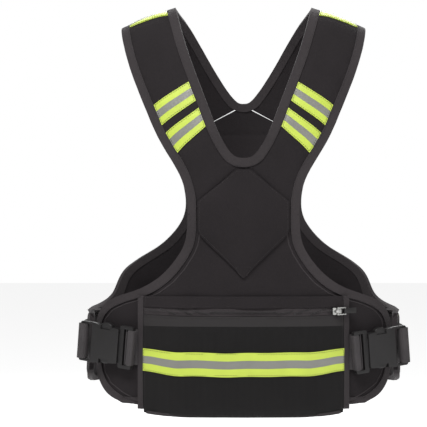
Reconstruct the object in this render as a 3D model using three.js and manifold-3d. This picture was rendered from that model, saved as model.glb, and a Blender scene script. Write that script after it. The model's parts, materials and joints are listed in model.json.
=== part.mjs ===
// Weighted vest with padded shoulder straps, a diamond chest patch, a zipped pouch, webbing with
// side-release buckles and reflective tapes. Millimetres, +Z up, the front faces -Y.
// The origin lies midway between the two places where the straps rest on the shoulders.
import * as THREE from 'three';
import { mergeVertices } from 'three/addons/utils/BufferGeometryUtils.js';
import Module from 'manifold-3d';

const wasm = await Module();
wasm.setup();

// Driving sizes of the body that the vest goes round
const TORSO_HALF_WIDTH = 204;
const TORSO_HALF_DEPTH = 116;
const TORSO_SQUARENESS = 2.5;
const ARCH_SQUARENESS = 2.2;
const SHOULDER_SLOPE = 0.38;

// Driving sizes of the vest
const FRONT_LENGTH = 496;
const BACK_LENGTH = 484;
const FRONT_NECK_DROP = 185;
const BACK_NECK_DROP = 101;
const FRONT_WAIST_DROP = 254;
const NECK_HALF_WIDTH = 91;
const SHOULDER_HALF_WIDTH = 158.5;
const FRONT_WAIST_HALF_WIDTH = 69;
const FLANK_HALF_WIDTH = 188;
const BACK_YOKE_HALF_WIDTH = 106;
const BACK_YOKE_DROP = 158;
const ARCH_FOOT_DROP = 193;

// Thicknesses and clearances
const EDGE_THICKNESS = 5;
const PANEL_THICKNESS = 7;
const STRAP_THICKNESS = 10;
const TAPE_THICKNESS = 0.8;
const BINDING_WALL = 1;
const BINDING_WIDTH = 10;
const NECK_MITRE = 12;
const GAP = 0.4;

// Chest patch
const DIAMOND_HALF_WIDTH = 57;
const DIAMOND_TOP_DROP = 198;
const DIAMOND_SIDE_DROP = 238;
const DIAMOND_SIDE_HEIGHT = 40;
const DIAMOND_APEX_DROP = 334;
const DIAMOND_TOP_HALF_WIDTH = 9;
const DIAMOND_PUFF = 5;
const DIAMOND_EDGE = 1.6;
const DIAMOND_COLUMNS = 8;

// Pouch
const POCKET_HALF_WIDTH = 131;
const POCKET_TOP_DROP = 357;
const POCKET_HEIGHT = 151;
const POCKET_BULGE = 9;
const POCKET_WALL = 2;
const POCKET_SIDE_BAND = 7;
const POCKET_CORNER_RISE = 9;
const POCKET_CORNER_FROM = 0.62;
const POCKET_CORNER_TO = 0.95;
const POCKET_SQUARENESS = 6;
const SIDE_BAND_FOOT = 0.97;
const POCKET_STRIPE_DROP = 427;
const STRIPE_WIDTH = 30;
const ZIP_TAPE = 1.2;
const COIL_HEIGHT = 1.2;
const COIL_SHARE = 0.22;
const ZIP_COLUMNS = 12;
const SLIDER_LENGTH = 12;
const SLIDER_WIDTH = 9;
const SLIDER_THICKNESS = 3.2;
const SLIDER_PLACE = 114;
const PULL_LENGTH = 11;
const PULL_WIDTH = 10;
const PULL_WIRE = 1.6;
const TAIL_LENGTH = 18;
const TAIL_WIDTH = 7.4;
const TAIL_THICKNESS = 4.2;

// Zip pull
const BRIDGE_LENGTH = 7;
const BRIDGE_RISE = 3.2;
const BRIDGE_WALL = 1.2;
const PULL_REST_TURN = 5;
const BRIDGE_SHARE = 0.36;
const BRIDGE_SINK = 0.5;
const SLIDER_TAPER = 0.8;
const TAIL_OVERLAP = 1.2;
const TAIL_KNOB = 6;
const TAIL_THIN = 0.68;

// Webbing and buckles; the belt hangs a little lower on the right
const WEBBING_WIDTH = 45;
const WEBBING_THICKNESS = 2;
const BELT_DROP_LEFT = 417;
const BELT_DROP_RIGHT = 423;
const BELT_TILT = 5;
const BUCKLE_START = 139;
const BUCKLE_TURN = 32;
const BUCKLE_STAND = 107;
const MALE_BASE_LENGTH = 20;
const MALE_BASE_HEIGHT = 54;
const MALE_THICKNESS = 6;
const MALE_SLOT = 6;
const FEMALE_LENGTH = 62;
const FEMALE_BODY_LENGTH = 42;
const FEMALE_MOUTH_HEIGHT = 44;
const FEMALE_HEIGHT = 51;
const FEMALE_THICKNESS = 11;
const FEMALE_WALL = 2;
const FEMALE_BAR = 6;
const BUCKLE_CORNER = 3;
const TONGUE_REACH = 0.62;
const TONGUE_SHARE = 0.7;
const MALE_SLOT_PLACE = 0.52;
const NOTCH_SHARE = 0.36;
const NOTCH_DEPTH = 0.6;

// Weight pouches inside the back
const INNER_POCKET_THICKNESS = 10;

// Stripe across the back
const BACK_STRIPE_DROP = 386;

// The crest of the straps, measured on a line that falls outwards with the shoulder's slope
const CREST = SHOULDER_SLOPE * (NECK_HALF_WIDTH + SHOULDER_HALF_WIDTH) / 2 + STRAP_THICKNESS / 2;

// Body sections from the shoulder down, as shares of the front length and of the torso's half sizes
const TORSO_SECTIONS = [
  { drop: 0.00, width: 1.00, depth: 1.00 },
  { drop: 0.45, width: 1.00, depth: 1.00 },
  { drop: 0.66, width: 0.985, depth: 0.965 },
  { drop: 0.84, width: 1.00, depth: 0.96 },
  { drop: 1.05, width: 1.005, depth: 0.985 },
];

// Strap stations from the chest (lift 0) to the crest (lift 1). neckLift and armLift are shares of each
// edge's rise, neck and arm are shares of the half widths that the edges reach at the crest.
const STRAP_FRONT = [
  { neckLift: 0.000, armLift: 0.000, neck: 0.004, arm: 0.435 },
  { neckLift: 0.020, armLift: 0.023, neck: 0.120, arm: 0.435 },
  { neckLift: 0.070, armLift: 0.084, neck: 0.212, arm: 0.439 },
  { neckLift: 0.160, armLift: 0.191, neck: 0.332, arm: 0.486 },
  { neckLift: 0.270, armLift: 0.316, neck: 0.432, arm: 0.603 },
  { neckLift: 0.380, armLift: 0.427, neck: 0.525, arm: 0.693 },
  { neckLift: 0.490, armLift: 0.524, neck: 0.621, arm: 0.753 },
  { neckLift: 0.600, armLift: 0.621, neck: 0.716, arm: 0.816 },
  { neckLift: 0.700, armLift: 0.714, neck: 0.797, arm: 0.874 },
  { neckLift: 0.790, armLift: 0.800, neck: 0.862, arm: 0.922 },
  { neckLift: 0.870, armLift: 0.875, neck: 0.914, arm: 0.958 },
  { neckLift: 0.935, armLift: 0.938, neck: 0.956, arm: 0.984 },
  { neckLift: 0.978, armLift: 0.980, neck: 0.985, arm: 0.998 },
  { neckLift: 1.000, armLift: 1.000, neck: 1.000, arm: 1.000 },
];
const STRAP_BACK = [
  { neckLift: 0.978, armLift: 0.980, neck: 0.975, arm: 0.998 },
  { neckLift: 0.935, armLift: 0.938, neck: 0.925, arm: 0.992 },
  { neckLift: 0.870, armLift: 0.875, neck: 0.850, arm: 0.978 },
  { neckLift: 0.770, armLift: 0.775, neck: 0.757, arm: 0.951 },
  { neckLift: 0.640, armLift: 0.643, neck: 0.650, arm: 0.911 },
  { neckLift: 0.500, armLift: 0.500, neck: 0.538, arm: 0.862 },
  { neckLift: 0.350, armLift: 0.350, neck: 0.416, arm: 0.806 },
  { neckLift: 0.200, armLift: 0.200, neck: 0.282, arm: 0.746 },
  { neckLift: 0.090, armLift: 0.090, neck: 0.174, arm: 0.703 },
  { neckLift: 0.025, armLift: 0.025, neck: 0.087, arm: 0.678 },
  { neckLift: 0.000, armLift: 0.000, neck: 0.004, arm: 0.669 },
];

// Front panel rows from the chevron to the hem: the edge's half width as a share of the flank's, and the
// drops of the edge and of the middle as shares of the stretch from the waist to the hem.
const FRONT_ROWS = [
  { half: 0.367, edge: 0.000, middle: -0.279 },
  { half: 0.367, edge: 0.056, middle: -0.130 },
  { half: 0.373, edge: 0.120, middle: 0.000 },
  { half: 0.394, edge: 0.170, middle: 0.100 },
  { half: 0.427, edge: 0.215, middle: 0.195 },
  { half: 0.490, edge: 0.282, middle: 0.300 },
  { half: 0.574, edge: 0.343, middle: 0.410 },
  { half: 0.681, edge: 0.390, middle: 0.520 },
  { half: 0.787, edge: 0.417, middle: 0.610 },
  { half: 0.878, edge: 0.443, middle: 0.680 },
  { half: 0.947, edge: 0.484, middle: 0.740 },
  { half: 0.990, edge: 0.542, middle: 0.790 },
  { half: 1.000, edge: 0.628, middle: 0.830 },
  { half: 1.000, edge: 0.727, middle: 0.865 },
  { half: 0.992, edge: 0.826, middle: 0.895 },
  { half: 0.960, edge: 0.902, middle: 0.928 },
  { half: 0.904, edge: 0.954, middle: 0.957 },
  { half: 0.810, edge: 0.988, middle: 1.000 },
];

// Back panel rows from the yoke to the hem: the edge's place as degrees round the body from the middle of
// the back, and the drops of the edge and of the middle as shares of the stretch from the yoke to the hem.
const BACK_ROWS = [
  { turn: 26.3, edge: 0.000, middle: -0.170 },
  { turn: 22.6, edge: 0.061, middle: -0.080 },
  { turn: 19.3, edge: 0.137, middle: 0.000 },
  { turn: 17.9, edge: 0.213, middle: 0.080 },
  { turn: 17.8, edge: 0.277, middle: 0.165 },
  { turn: 20.2, edge: 0.335, middle: 0.255 },
  { turn: 25.5, edge: 0.396, middle: 0.350 },
  { turn: 31.0, edge: 0.436, middle: 0.435 },
  { turn: 37.4, edge: 0.465, middle: 0.510 },
  { turn: 44.3, edge: 0.497, middle: 0.575 },
  { turn: 50.4, edge: 0.530, middle: 0.632 },
  { turn: 54.3, edge: 0.572, middle: 0.680 },
  { turn: 57.0, edge: 0.630, middle: 0.722 },
  { turn: 66.0, edge: 0.661, middle: 0.752 },
  { turn: 80.0, edge: 0.675, middle: 0.780 },
  { turn: 94.0, edge: 0.681, middle: 0.806 },
  { turn: 104.0, edge: 0.690, middle: 0.832 },
  { turn: 107.0, edge: 0.728, middle: 0.858 },
  { turn: 107.5, edge: 0.828, middle: 0.888 },
  { turn: 105.5, edge: 0.915, middle: 0.925 },
  { turn: 96.0, edge: 0.955, middle: 0.966 },
  { turn: 82.0, edge: 0.978, middle: 1.000 },
];

// Pouch profile from its top edge down: the drop as a share of the pouch's height, and how far it stands
// off the panel as a share of the bulge.
const POCKET_PROFILE = [
  { drop: 0.000, stand: 0.00 },
  { drop: 0.050, stand: 0.22 },
  { drop: 0.099, stand: 0.42 },
  { drop: 0.163, stand: 0.62 },
  { drop: 0.260, stand: 0.82 },
  { drop: 0.400, stand: 1.00 },
  { drop: 0.640, stand: 1.00 },
  { drop: 0.800, stand: 0.88 },
  { drop: 0.900, stand: 0.66 },
  { drop: 0.965, stand: 0.34 },
  { drop: 1.000, stand: -0.10 },
];
const ZIP_TOP = 0.099;
const ZIP_BOTTOM = 0.163;

// Degrees round the body, from the middle of the back, where the side webbing lies on the wing
const WING_WEBBING_TURNS = [58, 64, 70, 76, 83, 90, 97];

// Smooth value of a table's column at a place along another column
function tableValue(table, key, place, column) {
  const last = table.length - 1;
  let i = 0;
  while (i < last - 1 && table[i + 1][key] < place) i += 1;
  const a = table[i];
  const b = table[i + 1];
  const share = THREE.MathUtils.clamp((place - a[key]) / (b[key] - a[key]), 0, 1);
  const smooth = share * share * (3 - 2 * share);
  return a[column] + (b[column] - a[column]) * smooth;
}

function section(z) {
  const place = -z / FRONT_LENGTH;
  const width = TORSO_HALF_WIDTH * tableValue(TORSO_SECTIONS, 'drop', place, 'width');
  const depth = TORSO_HALF_DEPTH * tableValue(TORSO_SECTIONS, 'drop', place, 'depth');
  return { width, depth };
}

// Share of the way from the foot of the shoulder arch up to its crest, and beyond it
function archRise(x, z) {
  const level = z + SHOULDER_SLOPE * Math.abs(x);
  return Math.max((level + ARCH_FOOT_DROP) / (CREST + ARCH_FOOT_DROP), 0);
}

function archDepth(x, z) {
  const rise = Math.min(archRise(x, z), 1);
  return (1 - rise ** ARCH_SQUARENESS) ** (1 / ARCH_SQUARENESS);
}

// Middle surface of the vest: side is -1 at the front and 1 at the back
function bodyPoint(x, z, side) {
  const { width, depth } = section(z);
  const across = Math.min(Math.abs(x) / width, 1);
  const round = (1 - across ** TORSO_SQUARENESS) ** (1 / TORSO_SQUARENESS);
  return new THREE.Vector3(x, side * depth * round * archDepth(x, z), z);
}

// Half width at an angle round the body, from the middle of the front or back
function turnToHalf(turn, z) {
  const s = Math.sin(turn);
  return section(z).width * Math.sign(s) * Math.abs(s) ** (2 / TORSO_SQUARENESS);
}

function halfToTurn(x, z) {
  const across = Math.min(Math.abs(x) / section(z).width, 1);
  return Math.sign(x) * Math.asin(across ** (TORSO_SQUARENESS / 2));
}

function turnPoint(turn, z) {
  const x = turnToHalf(turn, z);
  const c = Math.cos(turn);
  const y = section(z).depth * Math.sign(c) * Math.abs(c) ** (2 / TORSO_SQUARENESS);
  return new THREE.Vector3(x, y * archDepth(x, z), z);
}

// Zero on the middle surface; its gradient is the way out. The second form holds round the sides.
function archField(p) {
  const { width, depth } = section(p.z);
  const across = Math.min(Math.abs(p.x) / width, 0.999);
  const round = (1 - across ** TORSO_SQUARENESS) ** (1 / TORSO_SQUARENESS);
  return (Math.abs(p.y) / (depth * round)) ** ARCH_SQUARENESS + archRise(p.x, p.z) ** ARCH_SQUARENESS;
}

function girthField(p) {
  const { width, depth } = section(p.z);
  return (Math.abs(p.x) / width) ** TORSO_SQUARENESS + (Math.abs(p.y) / depth) ** TORSO_SQUARENESS;
}

function outward(p) {
  const field = archRise(p.x, p.z) > 0 ? archField : girthField;
  const step = 0.05;
  const gradient = new THREE.Vector3();
  for (const axis of ['x', 'y', 'z']) {
    const ahead = p.clone();
    const behind = p.clone();
    ahead[axis] += step;
    behind[axis] -= step;
    gradient[axis] = field(ahead) - field(behind);
  }
  return gradient.normalize();
}

function offset(p, distance) {
  return p.clone().addScaledVector(outward(p), distance);
}

function mirrored(p) {
  return new THREE.Vector3(-p.x, p.y, p.z);
}

// Closed body from triangles, turned so that its faces point out
function bodyFrom(points, faces) {
  let volume = 0;
  for (const [a, b, c] of faces) {
    volume += points[a].dot(new THREE.Vector3().crossVectors(points[b], points[c]));
  }
  const index = faces.flatMap(([a, b, c]) => (volume < 0 ? [a, c, b] : [a, b, c]));
  const geometry = new THREE.BufferGeometry().setFromPoints(points);
  geometry.setIndex(index);
  return geometry;
}

function quad(faces, a, b, c, d, turned = false) {
  if (turned) faces.push([a, b, d], [b, c, d]);
  else faces.push([a, b, c], [a, c, d]);
}

// Sheet with an outer and an inner skin over one grid of points. Each face is split from the side nearer
// the middle on one row to the side nearer the edge on the next, as the tape over the edge is.
function sheetBody(outer, inner, middle = (outer[0].length - 1) / 2) {
  const rows = outer.length;
  const columns = outer[0].length;
  const points = [...outer.flat(), ...inner.flat()];
  const at = (r, c) => r * columns + c;
  const under = (r, c) => rows * columns + at(r, c);
  const faces = [];
  for (let r = 0; r < rows - 1; r += 1) {
    for (let c = 0; c < columns - 1; c += 1) {
      const turned = c + 1 <= middle;
      quad(faces, at(r, c), at(r, c + 1), at(r + 1, c + 1), at(r + 1, c), turned);
      quad(faces, under(r, c), under(r + 1, c), under(r + 1, c + 1), under(r, c + 1), turned);
    }
    quad(faces, at(r + 1, 0), under(r + 1, 0), under(r, 0), at(r, 0));
    const last = columns - 1;
    quad(faces, at(r, last), under(r, last), under(r + 1, last), at(r + 1, last), true);
  }
  for (let c = 0; c < columns - 1; c += 1) {
    quad(faces, at(0, c), under(0, c), under(0, c + 1), at(0, c + 1));
    quad(faces, at(rows - 1, c + 1), under(rows - 1, c + 1), under(rows - 1, c), at(rows - 1, c));
  }
  return bodyFrom(points, faces);
}

// Bar or channel through sections that all have the same number of points
function loftBody(sections, closed = false) {
  const size = sections[0].length;
  const points = sections.flat();
  const faces = [];
  const spans = closed ? sections.length : sections.length - 1;
  for (let s = 0; s < spans; s += 1) {
    const next = (s + 1) % sections.length;
    for (let i = 0; i < size; i += 1) {
      const j = (i + 1) % size;
      quad(faces, s * size + i, s * size + j, next * size + j, next * size + i);
    }
  }
  if (!closed) {
    const end = (sections.length - 1) * size;
    const half = size / 2;
    for (let i = 0; i < half - 1; i += 1) {
      quad(faces, i, size - 1 - i, size - 2 - i, i + 1);
      quad(faces, end + i, end + i + 1, end + size - 2 - i, end + size - 1 - i);
    }
  }
  return bodyFrom(points, faces);
}

// A soft sheet is kept as rows of places {p, half}: a point of the middle surface and half the thickness.
// The two outermost columns at each bound edge lie one binding width apart.
function sheetSkins(rows) {
  const outer = rows.map((row) => row.map(({ p, half }) => offset(p, half)));
  const inner = rows.map((row) => row.map(({ p, half }) => offset(p, -half)));
  return { outer, inner };
}

// Share of a row, from its edge inwards, that is one binding width away from the edge
function bindingShare(edges, k, rowPoint) {
  const before = edges[Math.max(k - 1, 0)];
  const after = edges[Math.min(k + 1, edges.length - 1)];
  const along = after.clone().sub(before).normalize();
  const probe = 0.02;
  const inwards = rowPoint(probe).sub(edges[k]);
  const perUnit = inwards.length() / probe;
  const slant = new THREE.Vector3().crossVectors(along, inwards.normalize()).length();
  return BINDING_WIDTH / (perUnit * Math.max(slant, 0.35));
}

const HALF_EDGE = EDGE_THICKNESS / 2;
const HALF_PANEL = PANEL_THICKNESS / 2;
const FRONT_SHARES = [0.20, 0.40, 0.59, 0.76, 0.89];
const BACK_SHARES = [0.15, 0.29, 0.43, 0.56, 0.68, 0.79, 0.90];

// Full row of a symmetric panel from the function of its right half: share 0 in the middle, 1 at the edge.
// thinTo is the number of places from the middle that lie under the neck's tape.
function symmetricRow(place, share, inside, thinTo) {
  const bound = 1 - share;
  const right = [0, ...inside.map((s) => s * bound), bound, 1].map((s) => place(s));
  const thin = (i) => i < thinTo || i > inside.length;
  const places = right.map((p, i) => ({ p, half: thin(i) ? HALF_EDGE : HALF_PANEL }));
  const left = places.slice(1).reverse().map(({ p, half }) => ({ p: mirrored(p), half }));
  return [...left, ...places];
}

function thinPlaces(k, count) {
  if (k >= count - 2) return Infinity;
  return k < 2 ? 3 : 0;
}

// Front panel
function frontPlace(row, s) {
  const stretch = FRONT_LENGTH - FRONT_WAIST_DROP;
  const x = row.half * FLANK_HALF_WIDTH * s;
  const middle = FRONT_WAIST_DROP + row.middle * stretch;
  const edge = FRONT_WAIST_DROP + row.edge * stretch;
  return { x, z: -(middle + (edge - middle) * s) - GAP };
}

function frontGrid() {
  const point = (row, s) => {
    const { x, z } = frontPlace(row, s);
    return bodyPoint(x, z, -1);
  };
  const edges = FRONT_ROWS.map((row) => point(row, 1));
  return FRONT_ROWS.map((row, k) => {
    const share = bindingShare(edges, k, (s) => point(row, 1 - s));
    return symmetricRow((s) => point(row, s), share, FRONT_SHARES, thinPlaces(k, FRONT_ROWS.length));
  });
}

// Back panel: its rows run straight across at the yoke and by angle round the sides
function backPoint(row, s) {
  const stretch = BACK_LENGTH - BACK_YOKE_DROP;
  const middle = BACK_YOKE_DROP + row.middle * stretch;
  const edge = BACK_YOKE_DROP + row.edge * stretch;
  const z = -(middle + (edge - middle) * s) - GAP;
  const turn = THREE.MathUtils.degToRad(row.turn);
  const straight = halfToTurn(turnToHalf(Math.min(turn, Math.PI / 2), z) * s, z);
  const wrap = THREE.MathUtils.smoothstep(row.turn, 27, 60);
  return turnPoint(straight + (turn * s - straight) * wrap, z);
}

function backGrid() {
  const edges = BACK_ROWS.map((row) => backPoint(row, 1));
  return BACK_ROWS.map((row, k) => {
    const share = bindingShare(edges, k, (s) => backPoint(row, 1 - s));
    return symmetricRow((s) => backPoint(row, s), share, BACK_SHARES, thinPlaces(k, BACK_ROWS.length));
  });
}

// Shoulder strap: neck and arm edges as levels along the shoulder's slope
function strapEdges(row, side) {
  const neckFoot = side < 0 ? -FRONT_NECK_DROP : -BACK_NECK_DROP;
  const armX = side < 0 ? FRONT_WAIST_HALF_WIDTH : BACK_YOKE_HALF_WIDTH;
  const armDrop = side < 0 ? FRONT_WAIST_DROP : BACK_YOKE_DROP;
  const armFoot = SHOULDER_SLOPE * armX - armDrop;
  const neckX = row.neck * NECK_HALF_WIDTH;
  const armEdgeX = row.arm * SHOULDER_HALF_WIDTH;
  const neckLevel = neckFoot + (CREST - neckFoot) * row.neckLift;
  const armLevel = armFoot + (CREST - armFoot) * row.armLift;
  return {
    neck: { x: neckX, z: neckLevel - SHOULDER_SLOPE * neckX },
    arm: { x: armEdgeX, z: armLevel - SHOULDER_SLOPE * armEdgeX },
  };
}

function strapPoint(row, side, s) {
  const { neck, arm } = strapEdges(row, side);
  return bodyPoint(neck.x + (arm.x - neck.x) * s, neck.z + (arm.z - neck.z) * s, side);
}

const STRAP_SHARES = [0.14, 0.34, 0.66, 0.86];

function strapGrid() {
  const stations = [
    ...STRAP_FRONT.map((row) => ({ row, side: -1 })),
    ...STRAP_BACK.map((row) => ({ row, side: 1 })),
  ];
  const necks = stations.map(({ row, side }) => strapPoint(row, side, 0));
  const arms = stations.map(({ row, side }) => strapPoint(row, side, 1));
  return stations.map(({ row, side }, k) => {
    const from = bindingShare(necks, k, (s) => strapPoint(row, side, s));
    const to = 1 - bindingShare(arms, k, (s) => strapPoint(row, side, 1 - s));
    const between = STRAP_SHARES.map((s) => from + (to - from) * s);
    const end = k === 0 || k === stations.length - 1;
    return [0, from, ...between, to, 1].map((s, i) => {
      const crown = Math.sin(Math.PI * THREE.MathUtils.clamp((s - from) / (to - from), 0, 1)) ** 0.5;
      const soft = i > 1 && i < 6 ? crown : 0;
      const full = end ? PANEL_THICKNESS : STRAP_THICKNESS;
      return { p: strapPoint(row, side, s), half: HALF_EDGE + (full / 2 - HALF_EDGE) * soft };
    });
  });
}

const front = frontGrid();
const back = backGrid();
const strapRight = strapGrid();
const strapLeft = strapRight.map((row) => row.map(({ p, half }) => ({ p: mirrored(p), half })));

// Tape folded over an edge: a channel round the sheet's edge, from places one binding width apart
function bindingSection({ edge, leg }) {
  const inner = HALF_EDGE + GAP;
  const outer = inner + BINDING_WALL;
  const away = edge.clone().sub(leg).normalize();
  const at = (p, lift, out) => offset(p, lift).addScaledVector(away, out);
  return [
    at(leg, inner, 0),
    at(edge, inner, GAP),
    at(edge, -inner, GAP),
    at(leg, -inner, 0),
    at(leg, -outer, 0),
    at(edge, -outer * 0.85, GAP + BINDING_WALL),
    at(edge, outer * 0.85, GAP + BINDING_WALL),
    at(leg, outer, 0),
  ];
}

// Points of the section that stand at the leg's end
const LEG_POINTS = [0, 3, 4, 7];

// Channel through its stations. A reversed station runs against the sheet's rows.
function channelBody(stations, closed = false) {
  const sections = stations.map(bindingSection);
  const size = sections[0].length;
  const points = sections.flat();
  const faces = [];
  const spans = closed ? sections.length : sections.length - 1;
  for (let s = 0; s < spans; s += 1) {
    const next = (s + 1) % sections.length;
    const back = stations[s].reversed || stations[next].reversed;
    for (let i = 0; i < size; i += 1) {
      const j = (i + 1) % size;
      const fromLeg = LEG_POINTS.includes(i);
      quad(faces, s * size + i, s * size + j, next * size + j, next * size + i, fromLeg === back);
    }
  }
  const caps = [[0, 7, 6, 1], [1, 6, 5, 2], [2, 5, 4, 3]];
  if (!closed) {
    const end = (sections.length - 1) * size;
    for (const cap of caps) {
      for (let i = 1; i < cap.length - 1; i += 1) {
        faces.push([cap[0], cap[i], cap[i + 1]]);
        faces.push([end + cap[0], end + cap[i + 1], end + cap[i]]);
      }
    }
  }
  return bodyFrom(points, faces);
}

const edgeStations = (grid, edgeColumn, legColumn) =>
  grid.map((row) => ({ edge: row[edgeColumn].p, leg: row[legColumn].p, reversed: false }));

const against = (stations) => stations.map((s) => ({ ...s, reversed: !s.reversed })).reverse();

const stationsMirrored = (stations) =>
  stations.map(({ edge, leg, reversed }) => ({ edge: mirrored(edge), leg: mirrored(leg), reversed }));

function armholeStations() {
  const last = front[0].length - 1;
  const strapLast = strapRight[0].length - 1;
  const backLast = back[0].length - 1;
  const frontEdge = against(edgeStations(front, last, last - 1).slice(1));
  const strapEdge = edgeStations(strapRight, strapLast, strapLast - 1).slice(0, -1);
  const backEdge = edgeStations(back, backLast, backLast - 1);
  return [...frontEdge, ...strapEdge, ...backEdge];
}

// The neck's tape is mitred at the foot of each V
function neckStations() {
  const right = edgeStations(strapRight, 0, 1).slice(1, -1);
  const foot = (drop, side) => ({
    edge: bodyPoint(0, -drop, side),
    leg: bodyPoint(0, -drop - NECK_MITRE, side),
    reversed: false,
  });
  const left = against(stationsMirrored(right));
  return [foot(FRONT_NECK_DROP, -1), ...right, foot(BACK_NECK_DROP, 1), ...left];
}

// The hem's tape stops short of the armhole tape's leg at both ends
function hemStations(grid) {
  const last = grid[0].length - 1;
  const edgeRow = grid[grid.length - 1];
  const legRow = grid[grid.length - 2];
  const between = (row, c, share) => row[c].p.clone().lerp(row[c + 1].p, share);
  const near = 0.06;
  const stationAt = (c, share) => ({
    edge: between(edgeRow, c, share),
    leg: between(legRow, c, share),
    reversed: c < last / 2,
  });
  const stations = [stationAt(1, near)];
  for (let c = 2; c < last - 1; c += 1) stations.push(stationAt(c, 0));
  stations.push(stationAt(last - 2, 1 - near));
  return stations;
}

// Point of a sheet's skin between its rows and columns
function skinPoint(skin, r, c) {
  const i = Math.min(Math.floor(r), skin.length - 2);
  const j = Math.min(Math.floor(c), skin[0].length - 2);
  const top = skin[i][j].clone().lerp(skin[i][j + 1], c - j);
  const low = skin[i + 1][j].clone().lerp(skin[i + 1][j + 1], c - j);
  return top.lerp(low, r - i);
}

// Piece that lies on a skin and follows its faces: places is a grid of {r, c} on the skin, and the piece
// reaches from near to far off it, measured outwards.
function overlayBody(skin, places, near, far) {
  const lifted = (distance) =>
    places.map((row) => row.map(({ r, c }) => offset(skinPoint(skin, r, c), distance)));
  return sheetBody(lifted(far), lifted(near), (skin[0].length - 1) / 2 - places[0][0].c);
}

// Reflective tapes across a strap, from station to station of the strap at the neck and at the arm
const STRAP_TAPES = [
  { name: 'strap_tape_upper', neck: [5.30, 5.56, 5.82, 6.08, 6.34], arm: [5.10, 5.38, 5.65, 5.93, 6.20] },
  { name: 'strap_tape_lower', neck: [3.92, 4.17, 4.41, 4.66, 4.90], arm: [3.72, 3.96, 4.21, 4.46, 4.70] },
  { name: 'crest_tape', neck: [11.3, 12, 12.5, 13], arm: [11.9, 12, 12.5, 13] },
];
const COLUMN_CLEAR = 0.06;

function tapeBody(skin, tape) {
  const last = skin[0].length - 2;
  const places = tape.neck.map((neck, i) => {
    const row = [];
    for (let k = 1; k <= last; k += 1) {
      const c = THREE.MathUtils.clamp(k, 1 + COLUMN_CLEAR, last - COLUMN_CLEAR);
      row.push({ r: THREE.MathUtils.lerp(neck, tape.arm[i], (c - 1) / (last - 1)), c });
    }
    return row;
  });
  return overlayBody(skin, places, GAP, GAP + TAPE_THICKNESS);
}

// Level band across the back from wing to wing; TAPE_STAND keeps its chords clear of the panel's
const TAPE_STAND = 0.9;
const STRIPE_TURNS = [0, 8, 16, 24, 31, 37, 43, 48, 53, ...WING_WEBBING_TURNS, 101];

function backStripeBody() {
  const turns = [...STRIPE_TURNS.slice(1).map((t) => -t).reverse(), ...STRIPE_TURNS];
  const heights = [-BACK_STRIPE_DROP, -BACK_STRIPE_DROP - STRIPE_WIDTH];
  const at = (z, distance) =>
    turns.map((turn) => offset(turnPoint(THREE.MathUtils.degToRad(turn), z), distance));
  const near = HALF_PANEL + TAPE_STAND;
  const outer = heights.map((z) => at(z, near + TAPE_THICKNESS));
  const inner = heights.map((z) => at(z, near));
  return sheetBody(outer, inner);
}

// Weight pouches inside the back, from row to row and column to column of the back panel
const INNER_POCKETS = [
  { name: 'inner_pocket_left', rows: [11, 17], columns: [3, 5] },
  { name: 'inner_pocket_centre', rows: [9, 17], columns: [6, 12] },
  { name: 'inner_pocket_right', rows: [11, 17], columns: [13, 15] },
];

function innerPocketBody(skin, pocket) {
  const places = [];
  for (let r = pocket.rows[0]; r <= pocket.rows[1]; r += 1) {
    const row = [];
    for (let c = pocket.columns[0]; c <= pocket.columns[1]; c += 1) row.push({ r, c });
    places.push(row);
  }
  return overlayBody(skin, places, -GAP - INNER_POCKET_THICKNESS, -GAP);
}

// Chest diamond: blunt top, upright sides along the armholes, pointed foot, puffed between sewn edges
function diamondBody() {
  const height = DIAMOND_APEX_DROP - DIAMOND_TOP_DROP;
  const sideShare = (DIAMOND_SIDE_DROP - DIAMOND_TOP_DROP) / height;
  const lowShare = sideShare + DIAMOND_SIDE_HEIGHT / height;
  const halfAt = (share) => {
    const spread = DIAMOND_HALF_WIDTH - DIAMOND_TOP_HALF_WIDTH;
    if (share < sideShare) return DIAMOND_TOP_HALF_WIDTH + spread * share / sideShare;
    if (share < lowShare) return DIAMOND_HALF_WIDTH;
    return Math.max(DIAMOND_HALF_WIDTH * (1 - share) / (1 - lowShare), DIAMOND_EDGE);
  };
  const steps = (from, to, count) =>
    Array.from({ length: count }, (_, i) => from + (to - from) * i / count);
  const shares = [...steps(0, sideShare, 3), ...steps(sideShare, lowShare, 3), ...steps(lowShare, 1, 5), 1];
  const under = HALF_PANEL + 2 * GAP;
  const outer = [];
  const inner = [];
  for (const share of shares) {
    const outerRow = [];
    const innerRow = [];
    for (let c = 0; c <= DIAMOND_COLUMNS; c += 1) {
      const u = 2 * c / DIAMOND_COLUMNS - 1;
      const p = bodyPoint(u * halfAt(share), -(DIAMOND_TOP_DROP + height * share), -1);
      const puff = Math.max(0, (1 - u ** 4) * Math.sin(Math.PI * share)) ** 0.6;
      innerRow.push(offset(p, under));
      outerRow.push(offset(p, under + DIAMOND_EDGE + DIAMOND_PUFF * puff));
    }
    outer.push(outerRow);
    inner.push(innerRow);
  }
  return sheetBody(outer, inner);
}

// Pouch: a place across and down, its stand off the panel and its two skins
const POCKET_COLUMNS = 16;
const POCKET_REST = HALF_EDGE + GAP + BINDING_WALL + GAP;

function pocketStand(drop) {
  const table = POCKET_PROFILE;
  let i = 0;
  while (i < table.length - 2 && table[i + 1].drop < drop) i += 1;
  const share = (drop - table[i].drop) / (table[i + 1].drop - table[i].drop);
  return table[i].stand + (table[i + 1].stand - table[i].stand) * share;
}

function pocketPoint(x, drop, lift) {
  const u = Math.abs(x) / POCKET_HALF_WIDTH;
  const corner = POCKET_CORNER_RISE * THREE.MathUtils.smoothstep(u, POCKET_CORNER_FROM, POCKET_CORNER_TO);
  const z = -(POCKET_TOP_DROP + (POCKET_HEIGHT - corner) * drop);
  const stand = POCKET_REST + POCKET_BULGE * pocketStand(drop) * (1 - u ** POCKET_SQUARENESS) + lift;
  return offset(bodyPoint(x, z, -1), stand);
}

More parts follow.
